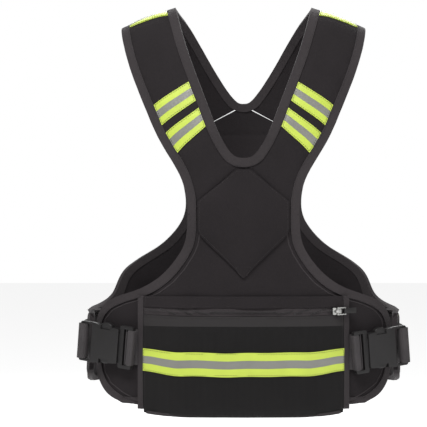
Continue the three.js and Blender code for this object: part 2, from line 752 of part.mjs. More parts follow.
function pocketPatch(halfWidth, fromDrop, toDrop, low, high) {
  const lattice = [];
  for (let c = 0; c <= POCKET_COLUMNS; c += 1) {
    const x = POCKET_HALF_WIDTH * (2 * c / POCKET_COLUMNS - 1);
    if (Math.abs(x) < halfWidth - 1) lattice.push(x);
  }
  const xs = [-halfWidth, ...lattice, halfWidth];
  const inside = POCKET_PROFILE.map(({ drop }) => drop).filter((d) => d > fromDrop && d < toDrop);
  const drops = [fromDrop, ...inside, toDrop];
  const outer = drops.map((d) => xs.map((x) => pocketPoint(x, d, high(d))));
  const inner = drops.map((d) => xs.map((x) => pocketPoint(x, d, low)));
  return sheetBody(outer, inner);
}

const PATCH_HALF = POCKET_HALF_WIDTH - POCKET_SIDE_BAND - GAP;
const ZIP_MIDDLE = (ZIP_TOP + ZIP_BOTTOM) / 2;

function pocketSideBand(sign) {
  const inside = POCKET_HALF_WIDTH - POCKET_SIDE_BAND;
  const rows = POCKET_PROFILE.map(({ drop }) => drop).filter((drop) => drop < SIDE_BAND_FOOT - 0.02);
  const drops = [...rows, SIDE_BAND_FOOT];
  const across = [inside, POCKET_HALF_WIDTH];
  const row = (d, lift) => across.map((x) => pocketPoint(sign * x, d, lift));
  return sheetBody(drops.map((d) => row(d, POCKET_WALL + BINDING_WALL)), drops.map((d) => row(d, 0)));
}

// Zip between the band above and the panel below: a tape with the closed coil standing up in the middle
function zipBody(from, to) {
  const coil = (to - from) * COIL_SHARE;
  const drops = [from, ZIP_MIDDLE - coil, ZIP_MIDDLE, ZIP_MIDDLE + coil, to];
  const lifts = [ZIP_TAPE, ZIP_TAPE, ZIP_TAPE + COIL_HEIGHT, ZIP_TAPE, ZIP_TAPE];
  const xs = [];
  for (let c = 0; c <= ZIP_COLUMNS; c += 1) xs.push(PATCH_HALF * (2 * c / ZIP_COLUMNS - 1));
  const outer = drops.map((d, i) => xs.map((x) => pocketPoint(x, d, lifts[i])));
  const inner = drops.map((d) => xs.map((x) => pocketPoint(x, d, 0)));
  return sheetBody(outer, inner);
}

function solidFrom(geometry) {
  const bare = geometry.clone();
  bare.deleteAttribute('normal');
  bare.deleteAttribute('uv');
  const merged = mergeVertices(bare, 1e-4);
  const vertProperties = new Float32Array(merged.attributes.position.array);
  const triVerts = new Uint32Array(merged.index.array);
  return new wasm.Manifold(new wasm.Mesh({ numProp: 3, vertProperties, triVerts }));
}

function geometryFrom(solid) {
  const { vertProperties, triVerts, numProp } = solid.getMesh();
  const count = vertProperties.length / numProp;
  const positions = new Float32Array(count * 3);
  for (let i = 0; i < count; i += 1) {
    for (let k = 0; k < 3; k += 1) positions[3 * i + k] = vertProperties[numProp * i + k];
  }
  const geometry = new THREE.BufferGeometry();
  geometry.setAttribute('position', new THREE.BufferAttribute(positions, 3));
  geometry.setIndex([...triVerts]);
  return geometry;
}

function extruded(shape, thickness) {
  const settings = { depth: thickness, bevelEnabled: false, curveSegments: 4 };
  const geometry = new THREE.ExtrudeGeometry(shape, settings);
  geometry.translate(0, 0, -thickness / 2);
  return geometry;
}

function boxAt(sizeX, sizeY, sizeZ, x, y = 0, z = 0) {
  return new THREE.BoxGeometry(sizeX, sizeY, sizeZ).translate(x, y, z);
}

function cutAway(geometry, tools) {
  let solid = solidFrom(geometry);
  for (const tool of tools) solid = solid.subtract(solidFrom(tool));
  return solid;
}

// Plate from startX over a length, its height going from one end's to the other's, with round corners
function taperedPlate(startX, length, fromHeight, toHeight, corner) {
  const a = fromHeight / 2;
  const b = toHeight / 2;
  const end = startX + length;
  const shape = new THREE.Shape();
  shape.moveTo(startX + corner, -a);
  shape.lineTo(end - corner, -b);
  shape.quadraticCurveTo(end, -b, end, -b + corner);
  shape.lineTo(end, b - corner);
  shape.quadraticCurveTo(end, b, end - corner, b);
  shape.lineTo(startX + corner, a);
  shape.quadraticCurveTo(startX, a, startX, a - corner);
  shape.lineTo(startX, -a + corner);
  shape.quadraticCurveTo(startX, -a, startX + corner, -a);
  return shape;
}

// Buckle pieces lie along X from the pouch outwards, stand up along Y and are thick along Z
const FEMALE_START = MALE_BASE_LENGTH + GAP;
const TONGUE_LENGTH = FEMALE_BODY_LENGTH * TONGUE_REACH;
const TONGUE_HEIGHT = FEMALE_MOUTH_HEIGHT * TONGUE_SHARE;
const SLOT_HEIGHT = WEBBING_WIDTH + 2 * GAP;
const MALE_SLOT_X = MALE_BASE_LENGTH * MALE_SLOT_PLACE;
const FEMALE_SLOT_LENGTH = FEMALE_LENGTH - FEMALE_BODY_LENGTH - FEMALE_BAR;
const FEMALE_SLOT_X = FEMALE_START + FEMALE_BODY_LENGTH + FEMALE_SLOT_LENGTH / 2;

function maleBody() {
  const outline = taperedPlate(0, MALE_BASE_LENGTH, MALE_BASE_HEIGHT, MALE_BASE_HEIGHT, BUCKLE_CORNER);
  const base = extruded(outline, MALE_THICKNESS);
  const slot = boxAt(MALE_SLOT, SLOT_HEIGHT, MALE_THICKNESS * 2, MALE_SLOT_X);
  const thickness = FEMALE_THICKNESS - 2 * FEMALE_WALL - 2 * GAP;
  const root = 1;
  const tongueX = MALE_BASE_LENGTH + (TONGUE_LENGTH - root) / 2;
  const tongue = boxAt(TONGUE_LENGTH + root, TONGUE_HEIGHT, thickness, tongueX);
  return geometryFrom(cutAway(base, [slot]).add(solidFrom(tongue)));
}

function femaleBody() {
  const heights = [FEMALE_MOUTH_HEIGHT, FEMALE_HEIGHT];
  const outline = taperedPlate(FEMALE_START, FEMALE_BODY_LENGTH, ...heights, BUCKLE_CORNER);
  const body = solidFrom(extruded(outline, FEMALE_THICKNESS));
  const root = 4;
  const frameStart = FEMALE_START + FEMALE_BODY_LENGTH - root;
  const frameLength = FEMALE_LENGTH - FEMALE_BODY_LENGTH + root;
  const frameOutline = taperedPlate(frameStart, frameLength, FEMALE_HEIGHT, FEMALE_HEIGHT, BUCKLE_CORNER);
  const frame = solidFrom(extruded(frameOutline, MALE_THICKNESS));
  const mouth = 2;
  const cavityLength = TONGUE_LENGTH + GAP + mouth;
  const cavityHeight = TONGUE_HEIGHT + 2 * GAP;
  const cavityDepth = FEMALE_THICKNESS - 2 * FEMALE_WALL;
  const cavity = boxAt(cavityLength, cavityHeight, cavityDepth, FEMALE_START - mouth + cavityLength / 2);
  const notchX = FEMALE_START + FEMALE_BODY_LENGTH * 0.5;
  const notchLength = FEMALE_BODY_LENGTH * NOTCH_SHARE;
  const notchY = (FEMALE_MOUTH_HEIGHT + FEMALE_HEIGHT) / 4;
  const notchHeight = notchLength * NOTCH_DEPTH;
  const notch = (sign) => boxAt(notchLength, notchHeight, FEMALE_THICKNESS * 2, notchX, sign * notchY);
  const slot = boxAt(FEMALE_SLOT_LENGTH, SLOT_HEIGHT, FEMALE_THICKNESS * 2, FEMALE_SLOT_X);
  let solid = body.add(frame);
  for (const tool of [cavity, notch(1), notch(-1), slot]) solid = solid.subtract(solidFrom(tool));
  return geometryFrom(solid);
}

// The buckle's own frame, set at the belt's height and tilted so that the belt rises towards the back
const BUCKLE_ANGLE = THREE.MathUtils.degToRad(BUCKLE_TURN);

function buckleMatrix(beltDrop) {
  const frame = new THREE.Matrix4().makeBasis(
    new THREE.Vector3(Math.cos(BUCKLE_ANGLE), Math.sin(BUCKLE_ANGLE), 0),
    new THREE.Vector3(0, 0, 1),
    new THREE.Vector3(Math.sin(BUCKLE_ANGLE), -Math.cos(BUCKLE_ANGLE), 0),
  ).setPosition(BUCKLE_START, -BUCKLE_STAND, -beltDrop);
  const pivot = new THREE.Matrix4().makeTranslation(FEMALE_SLOT_X, 0, 0);
  const tilt = new THREE.Matrix4().makeRotationZ(THREE.MathUtils.degToRad(BELT_TILT));
  const back = new THREE.Matrix4().makeTranslation(-FEMALE_SLOT_X, 0, 0);
  return frame.multiply(pivot).multiply(tilt).multiply(back);
}

// Strip of webbing through stations, each with its top and low points on the strip's middle
function webbingBody(stations) {
  const sections = stations.map(({ top, low }, i) => {
    const before = stations[Math.max(i - 1, 0)].top;
    const after = stations[Math.min(i + 1, stations.length - 1)].top;
    const along = after.clone().sub(before).normalize();
    const out = new THREE.Vector3().crossVectors(along, new THREE.Vector3(0, 0, 1)).normalize();
    out.multiplyScalar(WEBBING_THICKNESS / 2);
    return [low.clone().add(out), top.clone().add(out), top.clone().sub(out), low.clone().sub(out)];
  });
  return loftBody(sections);
}

function buckleStation(matrix, distance, out) {
  const at = (y) => new THREE.Vector3(distance, y, out).applyMatrix4(matrix);
  return { top: at(WEBBING_WIDTH / 2), low: at(-WEBBING_WIDTH / 2) };
}

// Short webbing from the pouch's side band, under the male part's inner bar and up into its slot
function frontWebbing(matrix) {
  const clear = 2 * GAP;
  const below = -(MALE_THICKNESS / 2 + GAP + WEBBING_THICKNESS / 2);
  const under = buckleStation(matrix, MALE_SLOT_X - 0.4, below);
  const rest = HALF_PANEL + clear + WEBBING_THICKNESS / 2;
  const root = (z) => offset(bodyPoint(POCKET_HALF_WIDTH + clear, z, -1), rest);
  const start = { top: root(under.top.z), low: root(under.low.z) };
  return webbingBody([start, under, buckleStation(matrix, MALE_SLOT_X + 0.6, 1)]);
}

// Webbing from the wing round the side and over the female part's bar into its slot
function sideWebbing(matrix, beltDrop) {
  const onWing = HALF_PANEL + TAPE_STAND + TAPE_THICKNESS + GAP + WEBBING_THICKNESS / 2;
  const half = WEBBING_WIDTH / 2;
  const wing = WING_WEBBING_TURNS.map((turn) => {
    const at = (z) => offset(turnPoint(THREE.MathUtils.degToRad(turn), z), onWing);
    return { top: at(-beltDrop + half), low: at(-beltDrop - half) };
  });
  const over = MALE_THICKNESS / 2 + GAP + WEBBING_THICKNESS / 2;
  const end = FEMALE_START + FEMALE_LENGTH + GAP + WEBBING_THICKNESS / 2;
  const bar = FEMALE_START + FEMALE_LENGTH - FEMALE_BAR;
  const path = [
    { distance: end + 0.6, out: -2.5 },
    { distance: end + 0.4, out: over * 0.75 },
    { distance: end - 1.6, out: over + 0.4 },
    { distance: bar - 1.6, out: over + 0.4 },
    { distance: bar - 3.4, out: over * 0.4 },
    { distance: bar - 3.6, out: -1.5 },
  ];
  return webbingBody([...wing, ...path.map(({ distance, out }) => buckleStation(matrix, distance, out))]);
}

// Zip slider near the right end of the zip, its bridge, and the ring pull with its tail
function sliderMatrix() {
  const lift = ZIP_TAPE + COIL_HEIGHT + GAP;
  const p = pocketPoint(SLIDER_PLACE, ZIP_MIDDLE, lift);
  const next = pocketPoint(SLIDER_PLACE + SLIDER_LENGTH / 2, ZIP_MIDDLE, lift);
  const before = pocketPoint(SLIDER_PLACE - SLIDER_LENGTH / 2, ZIP_MIDDLE, lift);
  const along = next.sub(before).normalize();
  const up = new THREE.Vector3(0, 0, 1);
  const out = new THREE.Vector3().crossVectors(along, up).normalize();
  const rise = new THREE.Vector3().crossVectors(out, along);
  return new THREE.Matrix4().makeBasis(along, rise, out).setPosition(p);
}

const PIVOT_HEIGHT = SLIDER_THICKNESS + BRIDGE_RISE / 2;

function sliderBody() {
  const narrow = SLIDER_WIDTH * SLIDER_TAPER;
  const outline = taperedPlate(-SLIDER_LENGTH / 2, SLIDER_LENGTH, SLIDER_WIDTH, narrow, 2);
  const plate = extruded(outline, SLIDER_THICKNESS);
  plate.translate(0, 0, SLIDER_THICKNESS / 2);
  const height = BRIDGE_RISE + BRIDGE_WALL + BRIDGE_SINK;
  const width = SLIDER_WIDTH * BRIDGE_SHARE;
  const bridge = boxAt(BRIDGE_LENGTH, width, height, 0, 0, SLIDER_THICKNESS - BRIDGE_SINK + height / 2);
  const opening = boxAt(BRIDGE_LENGTH - 2 * BRIDGE_WALL, width * 2, BRIDGE_RISE, 0, 0, PIVOT_HEIGHT);
  return geometryFrom(solidFrom(plate).add(cutAway(bridge, [opening])));
}

function ringBody() {
  const reach = PULL_LENGTH + PULL_WIRE;
  const outer = boxAt(reach, PULL_WIDTH, PULL_WIRE, PULL_LENGTH / 2);
  const hole = boxAt(reach - 2 * PULL_WIRE, PULL_WIDTH - 2 * PULL_WIRE, PULL_WIRE * 2, PULL_LENGTH / 2);
  return geometryFrom(cutAway(outer, [hole]));
}

function tailBody() {
  const start = PULL_LENGTH - PULL_WIRE / 2 - GAP - TAIL_OVERLAP;
  const neck = PULL_WIDTH - 2 * PULL_WIRE - 2 * GAP;
  const plate = extruded(taperedPlate(start, TAIL_LENGTH, neck, TAIL_WIDTH, 1.5), TAIL_THICKNESS);
  const hole = PULL_WIRE + 2 * GAP;
  const thinX = start + TAIL_LENGTH / 2 + TAIL_KNOB;
  const thinAt = (z) => boxAt(TAIL_LENGTH, TAIL_WIDTH * 2, TAIL_THICKNESS, thinX, 0, z);
  const eye = boxAt(hole, TAIL_WIDTH * 2, hole, PULL_LENGTH);
  const thinZ = TAIL_THICKNESS * TAIL_THIN;
  return geometryFrom(cutAway(plate, [eye, thinAt(thinZ), thinAt(-thinZ)]));
}

function material(color, roughness, metalness = 0) {
  return new THREE.MeshStandardMaterial({ color, roughness, metalness });
}

const neoprene = material('#1b1a1b', 0.85);
const edging = material('#262527', 0.7);
const meshCloth = material('#141415', 0.9);
const webbing = material('#1d1d1f', 0.75);
const reflective = material('#c6e32b', 0.5);
const plastic = material('#101011', 0.45);
const metal = material('#9b9b98', 0.35, 0.9);

const vest = new THREE.Group();

function add(name, geometry, look, parent = vest) {
  const mesh = new THREE.Mesh(geometry, look);
  mesh.name = name;
  parent.add(mesh);
}

function mirrorGeometry(geometry) {
  const flat = geometry.clone();
  flat.scale(-1, 1, 1);
  const index = [...flat.index.array];
  for (let i = 0; i < index.length; i += 3) [index[i + 1], index[i + 2]] = [index[i + 2], index[i + 1]];
  flat.setIndex(index);
  return flat;
}

function addSheet(name, rows) {
  const { outer, inner } = sheetSkins(rows);
  add(name, sheetBody(outer, inner), neoprene);
}

addSheet('front_panel', front);
addSheet('back_panel', back);
addSheet('shoulder_strap_right', strapRight);
addSheet('shoulder_strap_left', strapLeft);
add('chest_diamond', diamondBody(), neoprene);

const armholes = armholeStations();
add('armhole_binding_right', channelBody(armholes), edging);
add('armhole_binding_left', channelBody(stationsMirrored(armholes)), edging);
add('neck_binding', channelBody(neckStations(), true), edging);
add('front_hem_binding', channelBody(hemStations(front)), edging);
add('back_hem_binding', channelBody(hemStations(back)), edging);

for (const [sideName, rows] of [['left', strapLeft], ['right', strapRight]]) {
  const { outer } = sheetSkins(rows);
  for (const tape of STRAP_TAPES) add(`${tape.name}_${sideName}`, tapeBody(outer, tape), reflective);
}
const backSkins = sheetSkins(back);
add('back_stripe', backStripeBody(), reflective);
for (const pocket of INNER_POCKETS) add(pocket.name, innerPocketBody(backSkins.inner, pocket), neoprene);

const seam = GAP / POCKET_HEIGHT / 2;
const wall = () => POCKET_WALL;
add('pocket_top_band', pocketPatch(PATCH_HALF, 0, ZIP_TOP - seam, 0, wall), neoprene);
add('pocket_zip', zipBody(ZIP_TOP + seam, ZIP_BOTTOM - seam), edging);
add('pocket_lower_panel', pocketPatch(PATCH_HALF, ZIP_BOTTOM + seam, 1, 0, wall), meshCloth);
const stripeFrom = (POCKET_STRIPE_DROP - POCKET_TOP_DROP) / POCKET_HEIGHT;
const stripeTo = stripeFrom + STRIPE_WIDTH / POCKET_HEIGHT;
const onStripe = POCKET_WALL + GAP;
const stripe = pocketPatch(PATCH_HALF, stripeFrom, stripeTo, onStripe, () => onStripe + TAPE_THICKNESS);
add('pocket_stripe', stripe, reflective);
add('pocket_binding_right', pocketSideBand(1), edging);
add('pocket_binding_left', pocketSideBand(-1), edging);

for (const [sideName, beltDrop] of [['left', BELT_DROP_LEFT], ['right', BELT_DROP_RIGHT]]) {
  const matrix = buckleMatrix(beltDrop);
  const handed = (geometry) => (sideName === 'right' ? geometry : mirrorGeometry(geometry));
  add(`buckle_male_${sideName}`, handed(maleBody().applyMatrix4(matrix)), plastic);
  add(`buckle_female_${sideName}`, handed(femaleBody().applyMatrix4(matrix)), plastic);
  add(`front_webbing_${sideName}`, handed(frontWebbing(matrix)), webbing);
  add(`side_webbing_${sideName}`, handed(sideWebbing(matrix, beltDrop)), webbing);
}

const slider = new THREE.Group();
slider.applyMatrix4(sliderMatrix());
vest.add(slider);
add('zip_slider', sliderBody(), metal, slider);
const pull = new THREE.Group();
pull.position.z = PIVOT_HEIGHT;
pull.rotation.y = THREE.MathUtils.degToRad(PULL_REST_TURN);
slider.add(pull);
add('zip_pull', ringBody(), metal, pull);
add('zip_tail', tailBody(), plastic, pull);

export default vest;
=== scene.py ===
"""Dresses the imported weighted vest: padded neoprene, folded tape on its edges, a zipped mesh pouch, reflective
tapes, webbing and side-release buckles. Metres; +Z up, the front faces -Y."""

import json
import math

import bmesh
import bpy
import numpy as np
from bpy.props import FloatProperty, FloatVectorProperty, PointerProperty
from mathutils import Matrix, Vector, noise
from mathutils.bvhtree import BVHTree

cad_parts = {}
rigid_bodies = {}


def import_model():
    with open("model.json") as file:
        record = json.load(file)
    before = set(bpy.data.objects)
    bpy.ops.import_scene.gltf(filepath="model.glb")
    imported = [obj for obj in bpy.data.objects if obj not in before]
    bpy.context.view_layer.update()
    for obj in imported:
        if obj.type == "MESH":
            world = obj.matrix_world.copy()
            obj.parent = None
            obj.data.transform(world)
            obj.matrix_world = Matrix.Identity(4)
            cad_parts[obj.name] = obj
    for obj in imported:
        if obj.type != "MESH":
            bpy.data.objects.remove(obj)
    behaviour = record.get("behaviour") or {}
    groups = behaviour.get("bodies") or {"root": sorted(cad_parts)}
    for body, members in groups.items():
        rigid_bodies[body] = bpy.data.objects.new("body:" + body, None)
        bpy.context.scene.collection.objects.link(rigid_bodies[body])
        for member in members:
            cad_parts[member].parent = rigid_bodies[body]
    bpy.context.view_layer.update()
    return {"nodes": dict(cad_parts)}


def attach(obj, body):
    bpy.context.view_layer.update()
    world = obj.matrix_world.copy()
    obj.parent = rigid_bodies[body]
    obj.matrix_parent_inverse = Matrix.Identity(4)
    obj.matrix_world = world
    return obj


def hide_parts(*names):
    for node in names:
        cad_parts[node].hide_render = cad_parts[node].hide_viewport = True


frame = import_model()
NODES = frame["nodes"]

bl_info = {
    "name": "Weighted vest",
    "version": (1, 0, 0),
    "blender": (4, 5, 0),
    "location": "View3D > Sidebar > Vest",
    "description": "Builds the cloth, tapes, zip and buckles of a weighted vest round its packed frame",
    "category": "Object",
}

MM = 0.001
SIDES = ("left", "right")
STRAPS = tuple(f"shoulder_strap_{side}" for side in SIDES)
BINDINGS = (
    "neck_binding",
    "armhole_binding_left",
    "armhole_binding_right",
    "front_hem_binding",
    "back_hem_binding",
)
INNER_POCKETS = ("inner_pocket_left", "inner_pocket_centre", "inner_pocket_right")

# How many times wider the taped seams of the back are
BACK_SEAM_SPREAD = 3.0

# Top of the sewn line beside the armholes
ARMHOLE_SEAM_TOP = -0.235

# Pouch: foot of its plain strip, half width, and how far its low corners are let down
PLAIN_STRIP_FOOT = -0.3945
POUCH_HALF_WIDTH = 0.131
CORNER_DROP = 4.5 * MM

# Level seam on the inside of the back
INNER_SEAM_HEIGHT = -0.143

# Camera of the photograph: distance to the vest's middle plane, height, lens and sideways shift
CAMERA_DISTANCE = 2.0
CAMERA_HEIGHT = -0.2531
CAMERA_LENS = 126.8
CAMERA_SHIFT = -30 / 427


class VestSizes(bpy.types.PropertyGroup):
    """Sizes of the finish that may be changed"""

    ripple: FloatProperty(
        name="Ripple", description="Height of the padding's gentle waves",
        default=0.8 * MM, subtype="DISTANCE"
    )
    pucker: FloatProperty(
        name="Pucker", description="Height of the puckers beside the edge tape",
        default=0.7 * MM, subtype="DISTANCE"
    )
    stitch_pitch: FloatProperty(
        name="Stitch pitch", description="Distance from stitch to stitch",
        default=3.2 * MM, subtype="DISTANCE"
    )
    stitch_length: FloatProperty(
        name="Stitch length", description="Length of one stitch", default=2.5 * MM, subtype="DISTANCE"
    )
    stitch_width: FloatProperty(
        name="Stitch width", description="Thickness of the thread", default=0.55 * MM, subtype="DISTANCE"
    )
    tape_thickness: FloatProperty(
        name="Tape thickness", description="Thickness of the reflective tape",
        default=0.8 * MM, subtype="DISTANCE"
    )
    seam_width: FloatProperty(
        name="Seam width", description="Width of the raised seams", default=3.4 * MM, subtype="DISTANCE"
    )
    tooth_pitch: FloatProperty(
        name="Tooth pitch", description="Distance from tooth to tooth of the zip",
        default=1.5 * MM, subtype="DISTANCE"
    )
    hole_pitch: FloatProperty(
        name="Hole pitch", description="Distance between the mesh's holes",
        default=2.9 * MM, subtype="DISTANCE"
    )


def colour(name, value, description):
    return FloatVectorProperty(
        name=name, description=description, default=value, size=4, min=0, max=1, subtype="COLOR"
    )


class VestColours(bpy.types.PropertyGroup):
    """Colours of the finishes"""

    neoprene: colour("Neoprene", (0.0096, 0.0079, 0.0086, 1), "Face of the padding")
    edging: colour("Edge tape", (0.0215, 0.0185, 0.0195, 1), "Tape folded over the edges")
    mesh_cloth: colour("Mesh", (0.0075, 0.0069, 0.0070, 1), "Threads of the pouch's mesh")
    webbing: colour("Webbing", (0.0330, 0.0295, 0.0308, 1), "Woven belt")
    lime: colour("Lime", (0.300, 0.375, 0.034, 1), "Bright edges of the reflective tape")
    silver: colour("Silver", (0.115, 0.116, 0.102, 1), "Middle of the reflective tape")
    plastic: colour("Plastic", (0.0048, 0.0042, 0.0044, 1), "Buckles")
    metal: colour("Metal", (0.30, 0.30, 0.29, 1), "Zip slider and its ring")
    floor: colour("Floor", (0.80, 0.80, 0.80, 1), "Studio floor")


def sizes():
    return bpy.context.scene.vest_sizes


def colours():
    return bpy.context.scene.vest_colours


def deselect():
    bpy.ops.object.select_all(action="DESELECT")


def take(obj):
    deselect()
    obj.select_set(True)
    bpy.context.view_layer.objects.active = obj
    return obj


def apply_modifier(obj, kind, **values):
    take(obj)
    modifier = obj.modifiers.new(kind.title(), kind)
    for key, value in values.items():
        setattr(modifier, key, value)
    bpy.ops.object.modifier_apply(modifier=modifier.name)
    return obj


def subdivide(obj, levels):
    return apply_modifier(obj, "SUBSURF", levels=levels, render_levels=levels)


def mesh_object(name, points, faces):
    mesh = bpy.data.meshes.new(name)
    mesh.from_pydata([tuple(p) for p in points], [], faces)
    mesh.update()
    obj = bpy.data.objects.new(name, mesh)
    bpy.context.scene.collection.objects.link(obj)
    return obj


def coordinates(obj):
    flat = np.zeros(len(obj.data.vertices) * 3, np.float32)
    obj.data.vertices.foreach_get("co", flat)
    return flat.reshape(-1, 3).astype(float)


def normals(obj):
    flat = np.zeros(len(obj.data.vertices) * 3, np.float32)
    obj.data.vertices.foreach_get("normal", flat)
    return flat.reshape(-1, 3).astype(float)


def set_coordinates(obj, points):
    obj.data.vertices.foreach_set("co", points.astype(np.float32).ravel())
    obj.data.update()


def outward_way(p):
    """Rough way out of the vest: sideways from its middle line, and upwards at the shoulders"""
    return Vector((p.x, p.y, max(p.z + 0.1, 0)))


def welded(node):
    """Copy of a CAD solid with doubled points merged and its triangles joined in pairs"""
    work = bmesh.new()
    work.from_mesh(NODES[node].data)
    bmesh.ops.remove_doubles(work, verts=work.verts, dist=1e-6)
    bmesh.ops.join_triangles(
        work,
        faces=work.faces,
        angle_face_threshold=math.radians(60),
        angle_shape_threshold=math.radians(180),
    )
    work.normal_update()
    return work


def is_side(face, thin):
    return min(edge.calc_length() for edge in face.edges) < thin and len(face.verts) < 5


def is_skin(face, thin):
    return not is_side(face, thin) and face.normal.dot(outward_way(face.calc_center_median())) > 0


def sheet_cage(node, thin):
    """Outer skin of a thin CAD solid, as an open sheet of quads"""
    work = welded(node)
    keep = [f for f in work.faces if is_skin(f, thin)]
    used = {}
    faces = []
    for f in keep:
        faces.append([used.setdefault(v.index, len(used)) for v in f.verts])
    work.verts.ensure_lookup_table()
    points = [work.verts[i].co.copy() for i in used]
    work.free()
    return points, faces


def solid_cage(node, name, crease_from=50):
    """Quad cage of a CAD solid whose sharp edges keep their place when it is subdivided"""
    work = welded(node)
    work.verts.index_update()
    points = [v.co.copy() for v in work.verts]
    faces = [[v.index for v in f.verts] for f in work.faces]
    sharp = {}
    for e in work.edges:
        if len(e.link_faces) == 2 and e.calc_face_angle() > math.radians(crease_from):
            sharp[tuple(sorted(v.index for v in e.verts))] = 1.0
    work.free()
    obj = mesh_object(name, points, faces)
    crease = obj.data.attributes.new("crease_edge", "FLOAT", "EDGE")
    for e in obj.data.edges:
        crease.data[e.index].value = sharp.get(tuple(sorted(e.vertices)), 0.0)
    return obj


def rim_paths(node, thin):
    """Paths along the outer skin's rim, each a list of (point, way in from the rim, way out)"""
    work = welded(node)
    ways = {}
    links = {}
    for e in work.edges:
        if len(e.link_faces) != 2:
            continue
        skins = [f for f in e.link_faces if is_skin(f, thin)]
        sides = [f for f in e.link_faces if is_side(f, thin)]
        if len(skins) != 1 or len(sides) != 1:
            continue
        middle = (e.verts[0].co + e.verts[1].co) / 2
        inwards = (skins[0].calc_center_median() - middle).normalized()
        a, b = e.verts
        for v, other in ((a, b), (b, a)):
            links.setdefault(v.index, []).append(other.index)
            ways.setdefault(v.index, []).append((v.co.copy(), inwards, skins[0].normal.copy()))
    work.free()
    made = []
    free = set(links)
    while free:
        ends = sorted(i for i in free if len(links[i]) != 2)
        at = ends[0] if ends else min(free)
        path = [at]
        free.discard(at)
        while True:
            onward = sorted(i for i in links[path[-1]] if i in free)
            if not onward:
                break
            path.append(onward[0])
            free.discard(onward[0])
        if len(path) > 2 and path[0] in links[path[-1]]:
            path.append(path[0])
        rows = []
        for i in path:
            point = ways[i][0][0]
            inwards = sum((w[1] for w in ways[i]), Vector()).normalized()
            out = sum((w[2] for w in ways[i]), Vector()).normalized()
            rows.append((point, inwards, out))
        if len(rows) > 2:
            made.append(rows)
    return made


def resampled(rows, step):
    """Rows (point, in, out) at an even step along the path"""
    lengths = [0.0]
    for a, b in zip(rows, rows[1:]):
        lengths.append(lengths[-1] + (b[0] - a[0]).length)
    count = max(int(lengths[-1] / step), 1)
    made, i = [], 0
    for k in range(count + 1):
        at = lengths[-1] * k / count
        while i < len(lengths) - 2 and lengths[i + 1] < at:
            i += 1
        share = (at - lengths[i]) / max(lengths[i + 1] - lengths[i], 1e-9)
        made.append(tuple(a.lerp(b, min(share, 1)) for a, b in zip(rows[i], rows[i + 1])))
    return made


def split_at_corners(rows):
    """The rim loop of a strip cut at its corners, its two long sides first"""
    points = [r[0] for r in rows[:-1]] if (rows[0][0] - rows[-1][0]).length < 1e-7 else [r[0] for r in rows]
    count = len(points)
    turns = []
    for i in range(count):
        a = points[i] - points[i - 1]
        b = points[(i + 1) % count] - points[i]
        turns.append((a.angle(b, 0), i))
    corners = sorted(i for _, i in sorted(turns)[-4:])
    sides = []
    for a, b in zip(corners, corners[1:] + [corners[0] + count]):
        sides.append([points[i % count] for i in range(a, b + 1)])
    return sorted(sides, key=lambda s: -sum((q - p).length for p, q in zip(s, s[1:])))


def place_on_line(points, line):
    """Distance of each point to a line of points, and the length along the line where it is nearest"""
    best = np.full(len(points), 1e9)
    along = np.zeros(len(points))
    run = 0.0
    for a, b in zip(line, line[1:]):
        a, b = np.array(a), np.array(b)
        length = np.linalg.norm(b - a)
        share = np.clip(((points - a) @ (b - a)) / max(length**2, 1e-12), 0, 1)
        distance = np.linalg.norm(points - (a + share[:, None] * (b - a)), axis=1)
        nearer = distance < best
        best = np.where(nearer, distance, best)
        along = np.where(nearer, run + share * length, along)
        run += length
    return best, along


def tree_of(*objects):
    points, faces = [], []
    for obj in objects:
        start = len(points)
        points += [v.co.copy() for v in obj.data.vertices]
        faces += [[start + i for i in p.vertices] for p in obj.data.polygons]
    return BVHTree.FromPolygons(points, faces)


def waves(points, scale, seed):
    """Gentle noise, one value a point, from -1 to 1"""
    shift = Vector((seed, 2.0 * seed, 3.0 * seed))
    return np.array([noise.noise(Vector(p) * scale + shift) for p in points])


def swell(obj, amount):
    """Moves each point along its normal by amount, one value a point"""
    set_coordinates(obj, coordinates(obj) + normals(obj) * amount[:, None])


def seated(obj, nodes, material, body="root", smooth_angle=35):
    """Gives the piece its material and its body, and hides the CAD nodes that it stands for"""
    take(obj)
    bpy.ops.object.shade_smooth_by_angle(angle=math.radians(smooth_angle))
    obj.data.materials.clear()
    obj.data.materials.append(material)
    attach(obj, body)
    for name in nodes:
        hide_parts(name)
    return obj


def group_of(name, inputs, outputs):
    """Empty shader node group; inputs are (name, default) and outputs (name, socket type)"""
    tree = bpy.data.node_groups.new(name, "ShaderNodeTree")
    for label, value in inputs:
        socket = tree.interface.new_socket(label, in_out="INPUT", socket_type="NodeSocketFloat")
        socket.default_value = value
    for label, kind in outputs:
        tree.interface.new_socket(label, in_out="OUTPUT", socket_type=kind)
    return tree, tree.nodes.new("NodeGroupInput"), tree.nodes.new("NodeGroupOutput")


def node_in(tree, kind, values=None, **fields):
    node = tree.nodes.new(kind)
    for key, value in fields.items():
        setattr(node, key, value)
    for key, value in (values or {}).items():
        if isinstance(value, bpy.types.NodeSocket):
            tree.links.new(value, node.inputs[key])
        else:
            node.inputs[key].default_value = value
    return node


def math_in(tree, operation, a, b=0.0, clamp=False):
    return node_in(tree, "ShaderNodeMath", {0: a, 1: b}, operation=operation, use_clamp=clamp).outputs[0]


